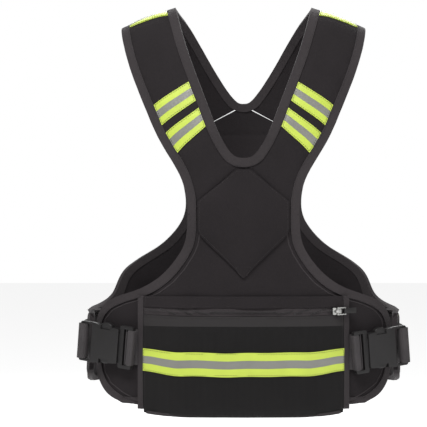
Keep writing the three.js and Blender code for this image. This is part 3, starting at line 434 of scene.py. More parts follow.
def knit_group():
    """Fine knitted face: small loops in rows, with slow changes of tone"""
    tree, given, out = group_of(
        "knitted_face", [("Rows", 900.0), ("Cloud", 14.0)],
        [("Height", "NodeSocketFloat"), ("Tone", "NodeSocketFloat")]
    )
    place = node_in(tree, "ShaderNodeTexCoord").outputs["Object"]
    loops = node_in(tree, "ShaderNodeTexVoronoi", {"Vector": place, "Scale": given.outputs["Rows"]})
    grain = node_in(tree, "ShaderNodeTexNoise", {"Vector": place, "Scale": 320.0, "Detail": 4.0})
    cloud = node_in(tree, "ShaderNodeTexNoise", {"Vector": place, "Scale": given.outputs["Cloud"], "Detail": 5.0})
    height = math_in(tree, "ADD", loops.outputs["Distance"], grain.outputs["Fac"])
    fine = math_in(tree, "MULTIPLY", grain.outputs["Fac"], 0.5)
    tone = math_in(tree, "ADD", math_in(tree, "MULTIPLY", cloud.outputs["Fac"], 0.9), fine)
    tree.links.new(height, out.inputs["Height"])
    tree.links.new(tone, out.inputs["Tone"])
    return tree


def rib_group():
    """Woven ribs: fine lines that run level, crossed by finer ones, on object coordinates"""
    tree, given, out = group_of(
        "woven_ribs",
        [("Ribs", 4200.0), ("Cross", 6000.0)],
        [("Height", "NodeSocketFloat"), ("Tone", "NodeSocketFloat")],
    )
    place = node_in(tree, "ShaderNodeTexCoord").outputs["Object"]
    split = node_in(tree, "ShaderNodeSeparateXYZ", {0: place})
    level = math_in(tree, "SINE", math_in(tree, "MULTIPLY", split.outputs["Z"], given.outputs["Ribs"]))
    reach = math_in(tree, "SUBTRACT", split.outputs["X"], split.outputs["Y"])
    cross = math_in(tree, "SINE", math_in(tree, "MULTIPLY", reach, given.outputs["Cross"]))
    woven = math_in(tree, "MULTIPLY", level, cross)
    height = math_in(tree, "ADD", math_in(tree, "MULTIPLY", level, 0.6), math_in(tree, "MULTIPLY", woven, 0.4))
    soil = node_in(tree, "ShaderNodeTexNoise", {"Vector": place, "Scale": 60.0, "Detail": 4.0})
    tree.links.new(height, out.inputs["Height"])
    tree.links.new(soil.outputs["Fac"], out.inputs["Tone"])
    return tree


def effect(name, maker):
    return bpy.data.node_groups.get(name) or maker()


def material_of(name, **values):
    """New material with its Principled shader's own sockets set; returns it with its tree and shader"""
    material = bpy.data.materials.new(name)
    material.use_nodes = True
    tree = material.node_tree
    shader = tree.nodes["Principled BSDF"]
    for key, value in values.items():
        shader.inputs[key.replace("_", " ")].default_value = value
    return material, tree, shader


def toned(tree, shader, tone, base, low, high):
    """Base colour that goes from low to high times the base as the tone goes from 0 to 1"""
    limits = {"Value": tone, "From Min": 0.3, "From Max": 1.1, "To Min": low, "To Max": high}
    ramp = node_in(tree, "ShaderNodeMapRange", limits)
    scaled = node_in(tree, "ShaderNodeVectorMath", {0: tuple(base[:3]), "Scale": ramp.outputs[0]}, operation="SCALE")
    tree.links.new(scaled.outputs[0], shader.inputs["Base Color"])


def bumped(tree, shader, height, strength, distance):
    bump = node_in(tree, "ShaderNodeBump", {"Height": height, "Strength": strength, "Distance": distance})
    tree.links.new(bump.outputs[0], shader.inputs["Normal"])


def knitted_material(name, base, rows=900.0, low=0.75, high=1.3, sheen=0.02, bump=0.6):
    material, tree, shader = material_of(name, Roughness=0.85, Sheen_Weight=sheen, Sheen_Roughness=0.45)
    shader.inputs["Specular IOR Level"].default_value = 0.12
    knit = node_in(tree, "ShaderNodeGroup", node_tree=effect("knitted_face", knit_group))
    knit.inputs["Rows"].default_value = rows
    toned(tree, shader, knit.outputs["Tone"], base, low, high)
    bumped(tree, shader, knit.outputs["Height"], bump, 0.25 * MM)
    return material


def ribbed_material(name, base, ribs=4200.0, sheen=0.03):
    material, tree, shader = material_of(name, Roughness=0.7, Sheen_Weight=sheen, Sheen_Roughness=0.4)
    shader.inputs["Specular IOR Level"].default_value = 0.2
    weave = node_in(tree, "ShaderNodeGroup", node_tree=effect("woven_ribs", rib_group))
    weave.inputs["Ribs"].default_value = ribs
    toned(tree, shader, weave.outputs["Tone"], base, 0.8, 1.25)
    bumped(tree, shader, weave.outputs["Height"], 0.6, 0.3 * MM)
    return material


def mesh_material(name, base):
    """Cloth of offset rows of small holes; the holes are painted near black, the dark cloth behind them with painted
    shade
    """
    material, tree, shader = material_of(name, Roughness=0.8, Sheen_Weight=0.02)
    shader.inputs["Specular IOR Level"].default_value = 0.12
    place = node_in(tree, "ShaderNodeTexCoord").outputs["Object"]
    split = node_in(tree, "ShaderNodeSeparateXYZ", {0: place})
    pitch = sizes().hole_pitch
    rounds = 2 * math.pi / pitch
    across = math_in(tree, "COSINE", math_in(tree, "MULTIPLY", split.outputs["X"], rounds))
    up = math_in(tree, "COSINE", math_in(tree, "MULTIPLY", split.outputs["Z"], rounds * 1.15))
    hole = math_in(tree, "MULTIPLY", across, up)
    open_mesh = math_in(tree, "LESS_THAN", split.outputs["Z"], PLAIN_STRIP_FOOT)
    depth = math_in(tree, "POWER", math_in(tree, "ABSOLUTE", hole), 0.7)
    depth = math_in(tree, "MULTIPLY", depth, open_mesh)
    threads = math_in(tree, "SUBTRACT", 0.95, math_in(tree, "MULTIPLY", depth, 1.3), True)
    # Painted shade: the holes go near black, as if the shaded inside of the pouch showed through them
    ramp = node_in(tree, "ShaderNodeMapRange", {"Value": threads, "To Min": 0.12, "To Max": 2.4})
    scaled = node_in(tree, "ShaderNodeVectorMath", {0: tuple(base[:3]), "Scale": ramp.outputs[0]}, operation="SCALE")
    tree.links.new(scaled.outputs[0], shader.inputs["Base Color"])
    bumped(tree, shader, threads, 0.9, 0.6 * MM)
    return material


def reflective_material(name, lime, silver):
    """Lime, silver and lime bands across the strip, by its UV map"""
    material, tree, shader = material_of(name, Roughness=0.45)
    uv = node_in(tree, "ShaderNodeUVMap", uv_map="across").outputs[0]
    split = node_in(tree, "ShaderNodeSeparateXYZ", {0: uv})
    across = split.outputs["Y"]
    middle = math_in(tree, "ABSOLUTE", math_in(tree, "SUBTRACT", across, 0.5))
    in_silver = math_in(tree, "LESS_THAN", middle, 0.168)
    edge = math_in(tree, "MULTIPLY", math_in(tree, "GREATER_THAN", middle, 0.160), in_silver)
    warp = math_in(tree, "SINE", math_in(tree, "MULTIPLY", across, 190.0))
    beads = node_in(tree, "ShaderNodeTexVoronoi", {"Vector": uv, "Scale": 2500.0})
    place = node_in(tree, "ShaderNodeTexCoord").outputs["Object"]
    wear = node_in(tree, "ShaderNodeTexNoise", {"Vector": place, "Scale": 45.0, "Detail": 5.0})
    tone = node_in(tree, "ShaderNodeMapRange", {"Value": wear.outputs["Fac"], "To Min": 0.86, "To Max": 1.12})
    ribs = node_in(tree, "ShaderNodeMapRange", {"Value": warp, "From Min": -1.0, "To Min": 0.92, "To Max": 1.06})
    bright = math_in(tree, "MULTIPLY", tone.outputs[0], ribs.outputs[0])
    mix = node_in(tree, "ShaderNodeMix", {0: in_silver, 6: lime, 7: silver}, data_type="RGBA")
    shade = math_in(tree, "SUBTRACT", bright, math_in(tree, "MULTIPLY", edge, 0.35))
    scaled = node_in(tree, "ShaderNodeVectorMath", {0: mix.outputs[2], "Scale": shade}, operation="SCALE")
    tree.links.new(scaled.outputs[0], shader.inputs["Base Color"])
    # Painted light: silver and lime alike are given a faint glow of their own colour
    glow = node_in(tree, "ShaderNodeVectorMath", {0: scaled.outputs[0], "Scale": 0.22}, operation="SCALE")
    tree.links.new(glow.outputs[0], shader.inputs["Emission Color"])
    shader.inputs["Emission Strength"].default_value = 0.5
    rough = node_in(tree, "ShaderNodeMapRange", {"Value": in_silver, "To Min": 0.55, "To Max": 0.38})
    tree.links.new(rough.outputs[0], shader.inputs["Roughness"])
    height = math_in(tree, "ADD", beads.outputs["Distance"], math_in(tree, "MULTIPLY", warp, 0.5))
    bumped(tree, shader, height, 0.35, 0.2 * MM)
    return material


def moulded_material(name, base):
    """Matte moulded plastic with a fine spark-eroded grain"""
    material, tree, shader = material_of(name, Roughness=0.5)
    shader.inputs["Specular IOR Level"].default_value = 0.3
    knit = node_in(tree, "ShaderNodeGroup", node_tree=effect("knitted_face", knit_group))
    knit.inputs["Rows"].default_value = 1800.0
    toned(tree, shader, knit.outputs["Tone"], base, 0.8, 1.3)
    rough = node_in(tree, "ShaderNodeMapRange", {"Value": knit.outputs["Tone"], "To Min": 0.4, "To Max": 0.58})
    tree.links.new(rough.outputs[0], shader.inputs["Roughness"])
    bumped(tree, shader, knit.outputs["Height"], 0.25, 0.1 * MM)
    return material


def metal_material(name, base):
    material, tree, shader = material_of(name, Metallic=1.0, Roughness=0.35)
    knit = node_in(tree, "ShaderNodeGroup", node_tree=effect("knitted_face", knit_group))
    knit.inputs["Cloud"].default_value = 500.0
    toned(tree, shader, knit.outputs["Tone"], base, 0.85, 1.1)
    rough = node_in(tree, "ShaderNodeMapRange", {"Value": knit.outputs["Tone"], "To Min": 0.24, "To Max": 0.46})
    tree.links.new(rough.outputs[0], shader.inputs["Roughness"])
    bumped(tree, shader, knit.outputs["Height"], 0.15, 0.1 * MM)
    return material


def finish_of(name):
    """The vest's finishes, each made once"""
    found = bpy.data.materials.get(f"{name}_finish")
    if found:
        return found
    made = new_finish(name)
    made.name = f"{name}_finish"
    return made


def new_finish(name):
    shade = colours()
    if name == "neoprene":
        return knitted_material(name, shade.neoprene)
    if name == "edge_tape":
        return knitted_material(name, shade.edging, rows=1400.0, sheen=0.05)
    if name == "thread":
        return knitted_material(name, shade.edging, rows=2600.0, sheen=0.08)
    if name == "mesh_cloth":
        return mesh_material(name, shade.mesh_cloth)
    if name == "webbing":
        return ribbed_material(name, shade.webbing)
    if name == "zip_tape":
        return knitted_material(name, shade.edging, rows=1800.0, sheen=0.04)
    # Painted highlight: the zip's coil is the buckles' plastic made three times as light
    if name == "coil":
        return moulded_material(name, [3 * value for value in shade.plastic[:3]])
    if name == "reflective":
        return reflective_material(name, shade.lime, shade.silver)
    if name == "plastic":
        return moulded_material(name, shade.plastic)
    if name == "metal":
        return metal_material(name, shade.metal)
    raise ValueError(f"no finish is called {name}")


def outward_ways(points):
    ways = np.stack([points[:, 0], points[:, 1], np.maximum(points[:, 2] + 0.1, 0)], axis=1)
    return ways / np.maximum(np.linalg.norm(ways, axis=1), 1e-9)[:, None]


def puckered(obj, paths, reach, seed):
    """Ripples the padding: slow waves all over, and short puckers that fade with distance from the paths"""
    points = coordinates(obj)
    slow = waves(points, 16.0, seed) * sizes().ripple
    line = [row[0] for path in paths for row in resampled(path, 6 * MM)]
    cloud = np.array([tuple(p) for p in line])
    near = np.zeros(len(points))
    for start in range(0, len(points), 4000):
        part = points[start : start + 4000]
        gaps = np.linalg.norm(part[:, None, :] - cloud[None, :, :], axis=2).min(axis=1)
        near[start : start + 4000] = np.clip(1 - gaps / reach, 0, 1)
    short = waves(points, 95.0, seed + 5) * sizes().pucker
    set_coordinates(obj, points + outward_ways(points) * (slow * (1 - near * 0.6) + short * near)[:, None])


def grooved(obj, height):
    """Sinks a level seam into the inner skin of the back"""
    points = coordinates(obj)
    inner = ((normals(obj) * outward_ways(points)).sum(axis=1) < 0) & (points[:, 1] > 0)
    depth = 1.6 * MM * np.exp(-(((points[:, 2] - height) / (2.6 * MM)) ** 2))
    swell(obj, -depth * inner)


def binding_rims(names=BINDINGS):
    return [path for name in names for path in rim_paths(name, 1.6 * MM)]


def seam_rows(strap, panel, outer):
    """Places (point, way in, way out) where a strap's end meets a panel, on its outer or its inner skin"""
    target = tree_of(NODES[panel])
    work = welded(strap)
    points = []
    for v in work.verts:
        spot, _, _, gap = target.find_nearest(v.co)
        if gap < 0.8 * MM and (v.normal.dot(outward_way(v.co)) > 0) == outer:
            points.append((v.co + spot) / 2)
    work.free()
    points.sort(key=lambda p: abs(p.x))
    return [(p, Vector((0, 0, -1)), outward_way(p).normalized()) for p in points]


def welt(name, rows, width, height):
    """Soft raised seam along a path, oval in section"""
    count = 10
    points, faces = [], []
    for i, (point, _, out) in enumerate(rows):
        along = rows[min(i + 1, len(rows) - 1)][0] - rows[max(i - 1, 0)][0]
        across = out.cross(along).normalized()
        for k in range(count):
            turn = 2 * math.pi * k / count
            points.append(point + across * math.cos(turn) * width / 2 + out * math.sin(turn) * height / 2)
    for i in range(len(rows) - 1):
        for k in range(count):
            n = (k + 1) % count
            faces.append((i * count + k, i * count + n, (i + 1) * count + n, (i + 1) * count + k))
    faces.append(tuple(reversed(range(count))))
    faces.append(tuple(range((len(rows) - 1) * count, len(rows) * count)))
    obj = mesh_object(name, points, faces)
    take(obj)
    bpy.ops.object.mode_set(mode="EDIT")
    bpy.ops.mesh.select_all(action="SELECT")
    bpy.ops.mesh.normals_make_consistent(inside=False)
    bpy.ops.object.mode_set(mode="OBJECT")
    return obj


class VEST_OT_seams(bpy.types.Operator):
    """Raised seams where the straps join the front and the back"""

    bl_idname = "vest.seams"
    bl_label = "Strap seams"

    def execute(self, context):
        for strap in STRAPS:
            for panel in ("front_panel", "back_panel"):
                for face in ("outer", "inner"):
                    rows = resampled(seam_rows(strap, panel, face == "outer"), 3 * MM)
                    wide = sizes().seam_width * (BACK_SEAM_SPREAD if panel == "back_panel" else 1)
                    obj = welt(f"{strap}_{panel}_seam_{face}", rows, wide, sizes().seam_width / 2)
                    seated(obj, [], finish_of("neoprene"))
        return {"FINISHED"}


class VEST_OT_padding(bpy.types.Operator):
    """Padded front, back and straps"""

    bl_idname = "vest.padding"
    bl_label = "Padding"

    def execute(self, context):
        rims = binding_rims()
        for node in ("front_panel", "back_panel", *STRAPS):
            obj = subdivide(solid_cage(node, f"{node}_padding"), 3)
            puckered(obj, rims, 16 * MM, 3.0)
            grooved(obj, INNER_SEAM_HEIGHT)
            seated(obj, [node], finish_of("neoprene"))
        return {"FINISHED"}


class VEST_OT_armhole_seams(bpy.types.Operator):
    """Sewn line beside the armhole tape on the front"""

    bl_idname = "vest.armhole_seams"
    bl_label = "Armhole seams"

    def execute(self, context):
        tree = tree_of(bpy.data.objects["front_panel_padding"])
        for side in SIDES:
            rows = max(rim_paths(f"armhole_binding_{side}", 1.6 * MM), key=len)
            lying = []
            for point, inwards, out in resampled(rows, 4 * MM):
                if point.z > ARMHOLE_SEAM_TOP or point.y > -0.02:
                    continue
                spot, normal, _, gap = tree.find_nearest(point - inwards * 5.5 * MM)
                if gap < 4 * MM and normal.dot(out) > 0:
                    lying.append((spot, inwards, normal))
            runs = [[lying[0]]]
            for row in lying[1:]:
                if (row[0] - runs[-1][-1][0]).length > 12 * MM:
                    runs.append([])
                runs[-1].append(row)
            obj = welt(f"armhole_seam_{side}", max(runs, key=len), 1.5 * MM, 1.1 * MM)
            seated(obj, [], finish_of("edge_tape"))
        return {"FINISHED"}


class VEST_OT_diamond(bpy.types.Operator):
    """Puffed diamond patch on the chest"""

    bl_idname = "vest.diamond"
    bl_label = "Chest diamond"

    def execute(self, context):
        obj = subdivide(solid_cage("chest_diamond", "chest_diamond_patch"), 3)
        points = coordinates(obj)
        swell(obj, waves(points, 40.0, 21.0) * 0.5 * MM)
        seated(obj, ["chest_diamond"], finish_of("neoprene"))
        return {"FINISHED"}


class VEST_OT_bindings(bpy.types.Operator):
    """Tape folded over the neck, the armholes and the hems"""

    bl_idname = "vest.bindings"
    bl_label = "Edge tape"

    def execute(self, context):
        for seed, node in enumerate(BINDINGS):
            obj = subdivide(solid_cage(node, f"{node}_tape", 60), 2)
            points = coordinates(obj)
            swell(obj, waves(points, 70.0, 31.0 + seed) * 0.25 * MM)
            seated(obj, [node], finish_of("edge_tape"))
        return {"FINISHED"}


def strip_piece(node, name, tree, lift, thin, levels=3):
    """Thin strip that follows what lies under it, with a UV map along and across it"""
    points, faces = sheet_cage(node, thin)
    sides = split_at_corners(max(rim_paths(node, thin), key=len))
    obj = mesh_object(name, points, faces)
    crease = obj.data.attributes.new("crease_edge", "FLOAT", "EDGE")
    counts = {}
    for p in obj.data.polygons:
        for key in p.edge_keys:
            counts[key] = counts.get(key, 0) + 1
    for e in obj.data.edges:
        crease.data[e.index].value = 1.0 if counts.get(tuple(sorted(e.vertices)), 0) == 1 else 0.0
    subdivide(obj, levels)
    before = coordinates(obj)
    near_a, along = place_on_line(before, sides[0])
    near_b, _ = place_on_line(before, sides[1])
    across = near_a / np.maximum(near_a + near_b, 1e-9)
    if tree:
        moved = []
        for p in before:
            spot, normal, _, _ = tree.find_nearest(Vector(p))
            if normal.dot(outward_way(spot)) < 0:
                normal = -normal
            moved.append(tuple(spot + normal * lift))
        set_coordinates(obj, np.array(moved))
    layer = obj.data.uv_layers.new(name="across")
    for loop in obj.data.loops:
        i = loop.vertex_index
        layer.data[loop.index].uv = (along[i], across[i])
    apply_modifier(obj, "SOLIDIFY", thickness=sizes().tape_thickness, offset=1.0)
    return obj


class VEST_OT_tapes(bpy.types.Operator):
    """Reflective tapes on the straps, the back and the pouch"""

    bl_idname = "vest.tapes"
    bl_label = "Reflective tapes"

    def execute(self, context):
        thin = 1.2 * MM
        lift = 0.25 * MM
        made = bpy.data.objects
        for side in SIDES:
            under = tree_of(made[f"shoulder_strap_{side}_padding"])
            for kind in ("strap_tape_upper", "strap_tape_lower", "crest_tape"):
                node = f"{kind}_{side}"
                obj = strip_piece(node, f"{node}_strip", under, lift, thin)
                seated(obj, [node], finish_of("reflective"))
        padding = tree_of(made["back_panel_padding"])
        back = strip_piece("back_stripe", "back_stripe_strip", padding, lift, thin)
        seated(back, ["back_stripe"], finish_of("reflective"))
        cloth = tree_of(made["pocket_lower_panel_cloth"])
        pouch = strip_piece("pocket_stripe", "pocket_stripe_strip", cloth, lift, thin)
        points = coordinates(pouch)
        points[:, 2] += waves(points * [1.0, 0, 0], 24.0, 61.0) * 1.4 * MM
        set_coordinates(pouch, points)
        seated(pouch, ["pocket_stripe"], finish_of("reflective"))
        return {"FINISHED"}


def smoothstep(values, low, high):
    share = np.clip((values - low) / (high - low), 0, 1)
    return share * share * (3 - 2 * share)


def let_down(points):
    """Lowers the pouch's bottom corners"""
    corner = smoothstep(np.abs(points[:, 0]) / POUCH_HALF_WIDTH, 0.62, 0.95)
    low = smoothstep(-points[:, 2], 0.455, 0.490)
    return points - np.array([0, 0, 1.0]) * (CORNER_DROP * corner * low)[:, None]


class VEST_OT_pouch(bpy.types.Operator):
    """Cloth of the front pouch and of the three weight pouches inside the back"""

    bl_idname = "vest.pouch"
    bl_label = "Pouches"

    def execute(self, context):
        finishes = {
            "pocket_top_band": ("neoprene", "neoprene", 3),
            "pocket_lower_panel": ("mesh_cloth", "mesh_cloth", 3),
            "pocket_binding_left": ("edge_tape", "edging", 3),
            "pocket_binding_right": ("edge_tape", "edging", 3),
        }
        for seed, (node, (finish, slot, levels)) in enumerate(finishes.items()):
            obj = subdivide(solid_cage(node, f"{node}_cloth"), levels)
            points = coordinates(obj)
            slack = waves(points * [1.0, 1.0, 0.35], 30.0, 41.0) * 2.2 * MM
            slack = slack + waves(points, 70.0, 43.0) * 0.4 * MM
            set_coordinates(obj, let_down(points + np.array([0, -1.0, 0]) * slack[:, None]))
            seated(obj, [node], finish_of(finish))
        lower = bpy.data.objects["pocket_lower_panel_cloth"]
        points = coordinates(lower)
        hem = []
        for x in np.arange(-0.1225, 0.1226, 3.5 * MM):
            column = points[np.abs(points[:, 0] - x) < 3 * MM]
            low = column[column[:, 2].argmin()]
            hem.append((Vector((x, low[1], low[2] + 1.2 * MM)), Vector((0, 0, 1)), Vector((0, -1, 0))))
        obj = welt("pocket_hem_tape", hem, 4.2 * MM, 4.6 * MM)
        seated(obj, [], finish_of("edge_tape"))
        for seed, node in enumerate(INNER_POCKETS):
            obj = subdivide(solid_cage(node, f"{node}_bag", 80), 3)
            points = coordinates(obj)
            swell(obj, waves(points, 30.0, 51.0 + seed) * 1.0 * MM)
            seated(obj, [node], finish_of("neoprene"), smooth_angle=60)
        return {"FINISHED"}


def stitch_shape():
    """One stitch along X: a spindle whose ends dip into the cloth"""
    length, width = sizes().stitch_length, sizes().stitch_width
    rings = ((-0.5, 0.2, -0.5), (-0.3, 1.0, 0.35), (0.3, 1.0, 0.35), (0.5, 0.2, -0.5))
    round_count = 4
    points, faces = [], []
    for place, share, rise in rings:
        for k in range(round_count):
            turn = 2 * math.pi * (k + 0.5) / round_count
            y = math.cos(turn) * width / 2 * share
            z = math.sin(turn) * width / 2 * share + rise * width / 2
            points.append(Vector((place * length, y, z)))
    for r in range(len(rings) - 1):
        for k in range(round_count):
            n = (k + 1) % round_count
            a, b = r * round_count, (r + 1) * round_count
            faces.append((a + k, a + n, b + n, b + k))
    faces.append(tuple(reversed(range(round_count))))
    last = round_count * (len(rings) - 1)
    faces.append(tuple(range(last, last + round_count)))
    return points, faces


def copies(name, shape, places):
    """One mesh of many copies of a small shape; each place is a matrix"""
    shape_points, shape_faces = shape
    points, faces = [], []
    for place in places:
        start = len(points)
        points += [place @ p for p in shape_points]
        faces += [[start + i for i in reversed(f)] for f in shape_faces]
    return mesh_object(name, points, faces)


def stitch_places(rows, tree, inset):
    """Places of the stitches of one line, inset from its rim and laid on the cloth under it"""
    spots = []
    for point, inwards, out in resampled(rows, sizes().stitch_pitch):
        spot, normal, _, _ = tree.find_nearest(point + inwards * inset)
        if spot is None:
            continue
        if normal.dot(out) < 0:
            normal = -normal
        spots.append((spot, normal))
    places = []
    for (a, normal), (b, _) in zip(spots, spots[1:]):
        along = b - a
        if along.length < 0.2 * sizes().stitch_pitch or along.length > 2 * sizes().stitch_pitch:
            continue
        x = along.normalized()
        y = normal.cross(x).normalized()
        z = x.cross(y)
        turn = Matrix((x, y, z)).transposed().to_4x4()
        places.append(Matrix.Translation((a + b) / 2) @ turn)
    return places


class VEST_OT_stitches(bpy.types.Operator):
    """Stitch lines along the edge tape, the tapes, the diamond and the pouch"""

    bl_idname = "vest.stitches"
    bl_label = "Stitches"

    def execute(self, context):
        made = bpy.data.objects
        shape = stitch_shape()
        groups = {
            "binding_stitches": [(n, f"{n}_tape", 1.6 * MM, 1.6 * MM) for n in BINDINGS],
            "tape_stitches": [
                (f"{kind}_{side}", f"{kind}_{side}_strip", 1.2 * MM, 1.5 * MM)
                for kind in ("strap_tape_upper", "strap_tape_lower", "crest_tape")
                for side in SIDES
            ],
            "stripe_stitches": [
                ("back_stripe", "back_stripe_strip", 1.2 * MM, 1.5 * MM),
                ("pocket_stripe", "pocket_stripe_strip", 1.2 * MM, 1.5 * MM),
            ],
            "diamond_stitches": [("chest_diamond", "chest_diamond_patch", 1.7 * MM, 3.0 * MM)],
            "pouch_stitches": [
                ("pocket_top_band", "pocket_top_band_cloth", 2.3 * MM, 2.0 * MM),
                ("pocket_lower_panel", "pocket_lower_panel_cloth", 2.3 * MM, 2.5 * MM),
                ("pocket_binding_left", "pocket_binding_left_cloth", 3.2 * MM, 1.5 * MM),
                ("pocket_binding_right", "pocket_binding_right_cloth", 3.2 * MM, 1.5 * MM),
            ],
        }
        for name, lines in groups.items():
            places = []
            for node, cloth, thin, inset in lines:
                tree = tree_of(made[cloth])
                for rows in rim_paths(node, thin):
                    places += stitch_places(rows, tree, inset)
            obj = copies(name, shape, places)
            seated(obj, [], finish_of("thread"), smooth_angle=80)
        return {"FINISHED"}


def zip_line():
    """Middle line of the zip on its front, as (x, z)"""
    corners = np.array([tuple(v.co) for v in NODES["pocket_zip"].data.vertices])
    xs = np.unique(np.round(corners[:, 0], 4))
    zs = [corners[np.abs(corners[:, 0] - x) < 1e-4][:, 2] for x in xs]
    return xs, np.array([(z.max() + z.min()) / 2 for z in zs])


class VEST_OT_zip(bpy.types.Operator):
    """Zip tape and its closed coil of small teeth"""

    bl_idname = "vest.zip"
    bl_label = "Zip"

    def execute(self, context):
        tape = subdivide(solid_cage("pocket_zip", "pocket_zip_tape"), 2)
        seated(tape, ["pocket_zip"], finish_of("zip_tape"))
        tree = tree_of(tape)
        xs, zs = zip_line()
        pitch = sizes().tooth_pitch
        half = pitch * 0.36
        rings = ((-1.3, 0.5), (-0.9, 1.0), (0.9, 1.0), (1.3, 0.5))
        points, faces = [], []
        for z, share in rings:
            for k in range(6):
                turn = 2 * math.pi * k / 6
                x, y = math.cos(turn) * half * share, math.sin(turn) * half * 1.1 * share
                points.append(Vector((x, y, z * MM)))
        for r in range(3):
            for k in range(6):
                n = (k + 1) % 6
                faces.append((r * 6 + k, r * 6 + 6 + k, r * 6 + 6 + n, r * 6 + n))
        faces.append(tuple(range(6)))
        faces.append(tuple(reversed(range(18, 24))))
        places = []
        count = int((xs[-1] - xs[0] - 4 * MM) / pitch)
        for k in range(count):
            x = xs[0] + 2 * MM + k * pitch
            spot, normal, _, _ = tree.ray_cast(Vector((x, -0.3, np.interp(x, xs, zs))), Vector((0, 1, 0)))
            if spot is None:
                continue
            lean = Matrix.Rotation(math.radians(14 if k % 2 else -14), 4, "Y")
            places.append(Matrix.Translation(spot + normal * 0.15 * MM) @ lean)
        coil = copies("pocket_zip_coil", (points, faces), places)
        seated(coil, [], finish_of("coil"), smooth_angle=50)
        return {"FINISHED"}


def rounded_copy(node, name, width, segments=3):
    """Copy of a hard CAD solid with its edges rounded"""
    work = bmesh.new()
    work.from_mesh(NODES[node].data)
    bmesh.ops.remove_doubles(work, verts=work.verts, dist=1e-6)
    bmesh.ops.dissolve_limit(work, angle_limit=math.radians(2), verts=work.verts, edges=work.edges)
    work.verts.index_update()
    points = [v.co.copy() for v in work.verts]
    faces = [[v.index for v in f.verts] for f in work.faces]
    work.free()
    obj = mesh_object(name, points, faces)
    apply_modifier(
        obj,
        "BEVEL",
        width=width,
        segments=segments,
        limit_method="ANGLE",
        angle_limit=math.radians(30),
        use_clamp_overlap=True,
        harden_normals=False,
    )
    return obj


class VEST_OT_slider(bpy.types.Operator):
    """Zip slider with its ring pull and tail"""

    bl_idname = "vest.slider"
    bl_label = "Zip slider"

    def execute(self, context):
        pieces = {
            "zip_slider": (0.5 * MM, "metal", "slider_metal", "root"),
            "zip_pull": (0.45 * MM, "metal", "slider_metal", "pull"),
            "zip_tail": (0.7 * MM, "plastic", "buckle_plastic", "pull"),
        }
        for node, (width, finish, slot, body) in pieces.items():
            obj = rounded_copy(node, f"{node}_finished", width)
            seated(obj, [node], finish_of(finish), body)
        return {"FINISHED"}


def buckle_frame(node, sign):
    """Matrix of a buckle part: its origin in the middle of its mouth's front edge, Y up, Z out of its face"""
    work = bmesh.new()
    work.from_mesh(NODES[node].data)
    front = max((f for f in work.faces if f.normal.y < -0.5), key=lambda f: f.calc_area())
    out = front.normal.copy()
    upright = [e.verts[1].co - e.verts[0].co for e in work.edges]
    upright = [way for way in upright if abs(way.normalized().z) > 0.97]
    upright = [way for way in upright if abs(way.normalized().dot(out)) < 0.01]
    up = max(upright, key=lambda way: way.length).normalized()
    up = up if up.z > 0 else -up
    across = up.cross(out).normalized()
    flat = [(v.co.dot(across), v.co.dot(up), v.co.dot(out)) for v in work.verts]
    work.free()
    xs, ys, zs = zip(*flat)
    mouth = min(xs) if sign > 0 else max(xs)
    origin = across * mouth + up * (min(ys) + max(ys)) / 2 + out * max(zs)
    return Matrix.Translation(origin) @ Matrix((across, up, out)).transposed().to_4x4()


def framed(obj, name, matrix, place, size, bevel):
    """Shapes a fresh unit primitive to its size, sets it in a frame and rounds its edges"""
    obj.name = name
    bpy.ops.object.mode_set(mode="EDIT")
    bpy.ops.mesh.select_all(action="SELECT")
    bpy.ops.transform.resize(value=size)
    bpy.ops.object.mode_set(mode="OBJECT")
    obj.data.transform(matrix @ Matrix.Translation(place))
    obj.data.update()
    limits = {"limit_method": "ANGLE", "angle_limit": math.radians(40)}
    return apply_modifier(obj, "BEVEL", width=bevel, segments=4, **limits)


class VEST_OT_buckles(bpy.types.Operator):
    """Side-release buckles with rounded edges, their sprung arms and the webbing over the inner bar"""

    bl_idname = "vest.buckles"
    bl_label = "Buckles"

    def execute(self, context):
        for side, sign in zip(SIDES, (-1, 1)):
            frame_at = buckle_frame(f"buckle_female_{side}", sign)
            for end, height in (("upper", 1), ("lower", -1)):
                deselect()
                bpy.ops.mesh.primitive_cylinder_add(vertices=48, radius=1, depth=1)
                place = (sign * 21 * MM, height * 20.6 * MM, -5.5 * MM)
                size = (9.2 * MM, 5.4 * MM, 8.0 * MM)
                disc = bpy.context.active_object
                arm = framed(disc, f"buckle_arm_{end}_{side}", frame_at, place, size, 1.0 * MM)
                seated(arm, [], finish_of("plastic"))
            inner = buckle_frame(f"buckle_male_{side}", sign)
            deselect()
            bpy.ops.mesh.primitive_cube_add(size=1)
            place = (sign * 3.6 * MM, 0, -3.0 * MM)
            size = (9.6 * MM, 45 * MM, 8.8 * MM)
            block = bpy.context.active_object
            wrap = framed(block, f"front_webbing_loop_{side}", inner, place, size, 2.6 * MM)
            seated(wrap, [], finish_of("webbing"))
            for kind in ("buckle_male", "buckle_female"):
                node = f"{kind}_{side}"
                obj = rounded_copy(node, f"{node}_moulded", 1.1 * MM, 4)
                seated(obj, [node], finish_of("plastic"))
        return {"FINISHED"}


class VEST_OT_webbing(bpy.types.Operator):
    """Woven belt ends at the sides and in front"""

    bl_idname = "vest.webbing"
    bl_label = "Webbing"

    def execute(self, context):
        for side in SIDES:
            for kind in ("side_webbing", "front_webbing"):
                node = f"{kind}_{side}"
                obj = subdivide(solid_cage(node, f"{node}_woven"), 2)
                seated(obj, [node], finish_of("webbing"))
        return {"FINISHED"}


def area_light(name, place, aim, size, power):
    light = bpy.data.lights.new(name, "AREA")
    light.shape = "RECTANGLE"
    light.size, light.size_y = size
    light.energy = power
    obj = bpy.data.objects.new(name, light)
    bpy.context.scene.collection.objects.link(obj)
    obj.location = place
    obj.rotation_euler = (Vector(aim) - Vector(place)).to_track_quat("-Z", "Y").to_euler()
    return obj


class VEST_OT_cloths(bpy.types.Operator):
    """Step that does nothing"""

    bl_idname = "vest.cloths"
    bl_label = "Pouch cloth"

    def execute(self, context):
        return {"FINISHED"}


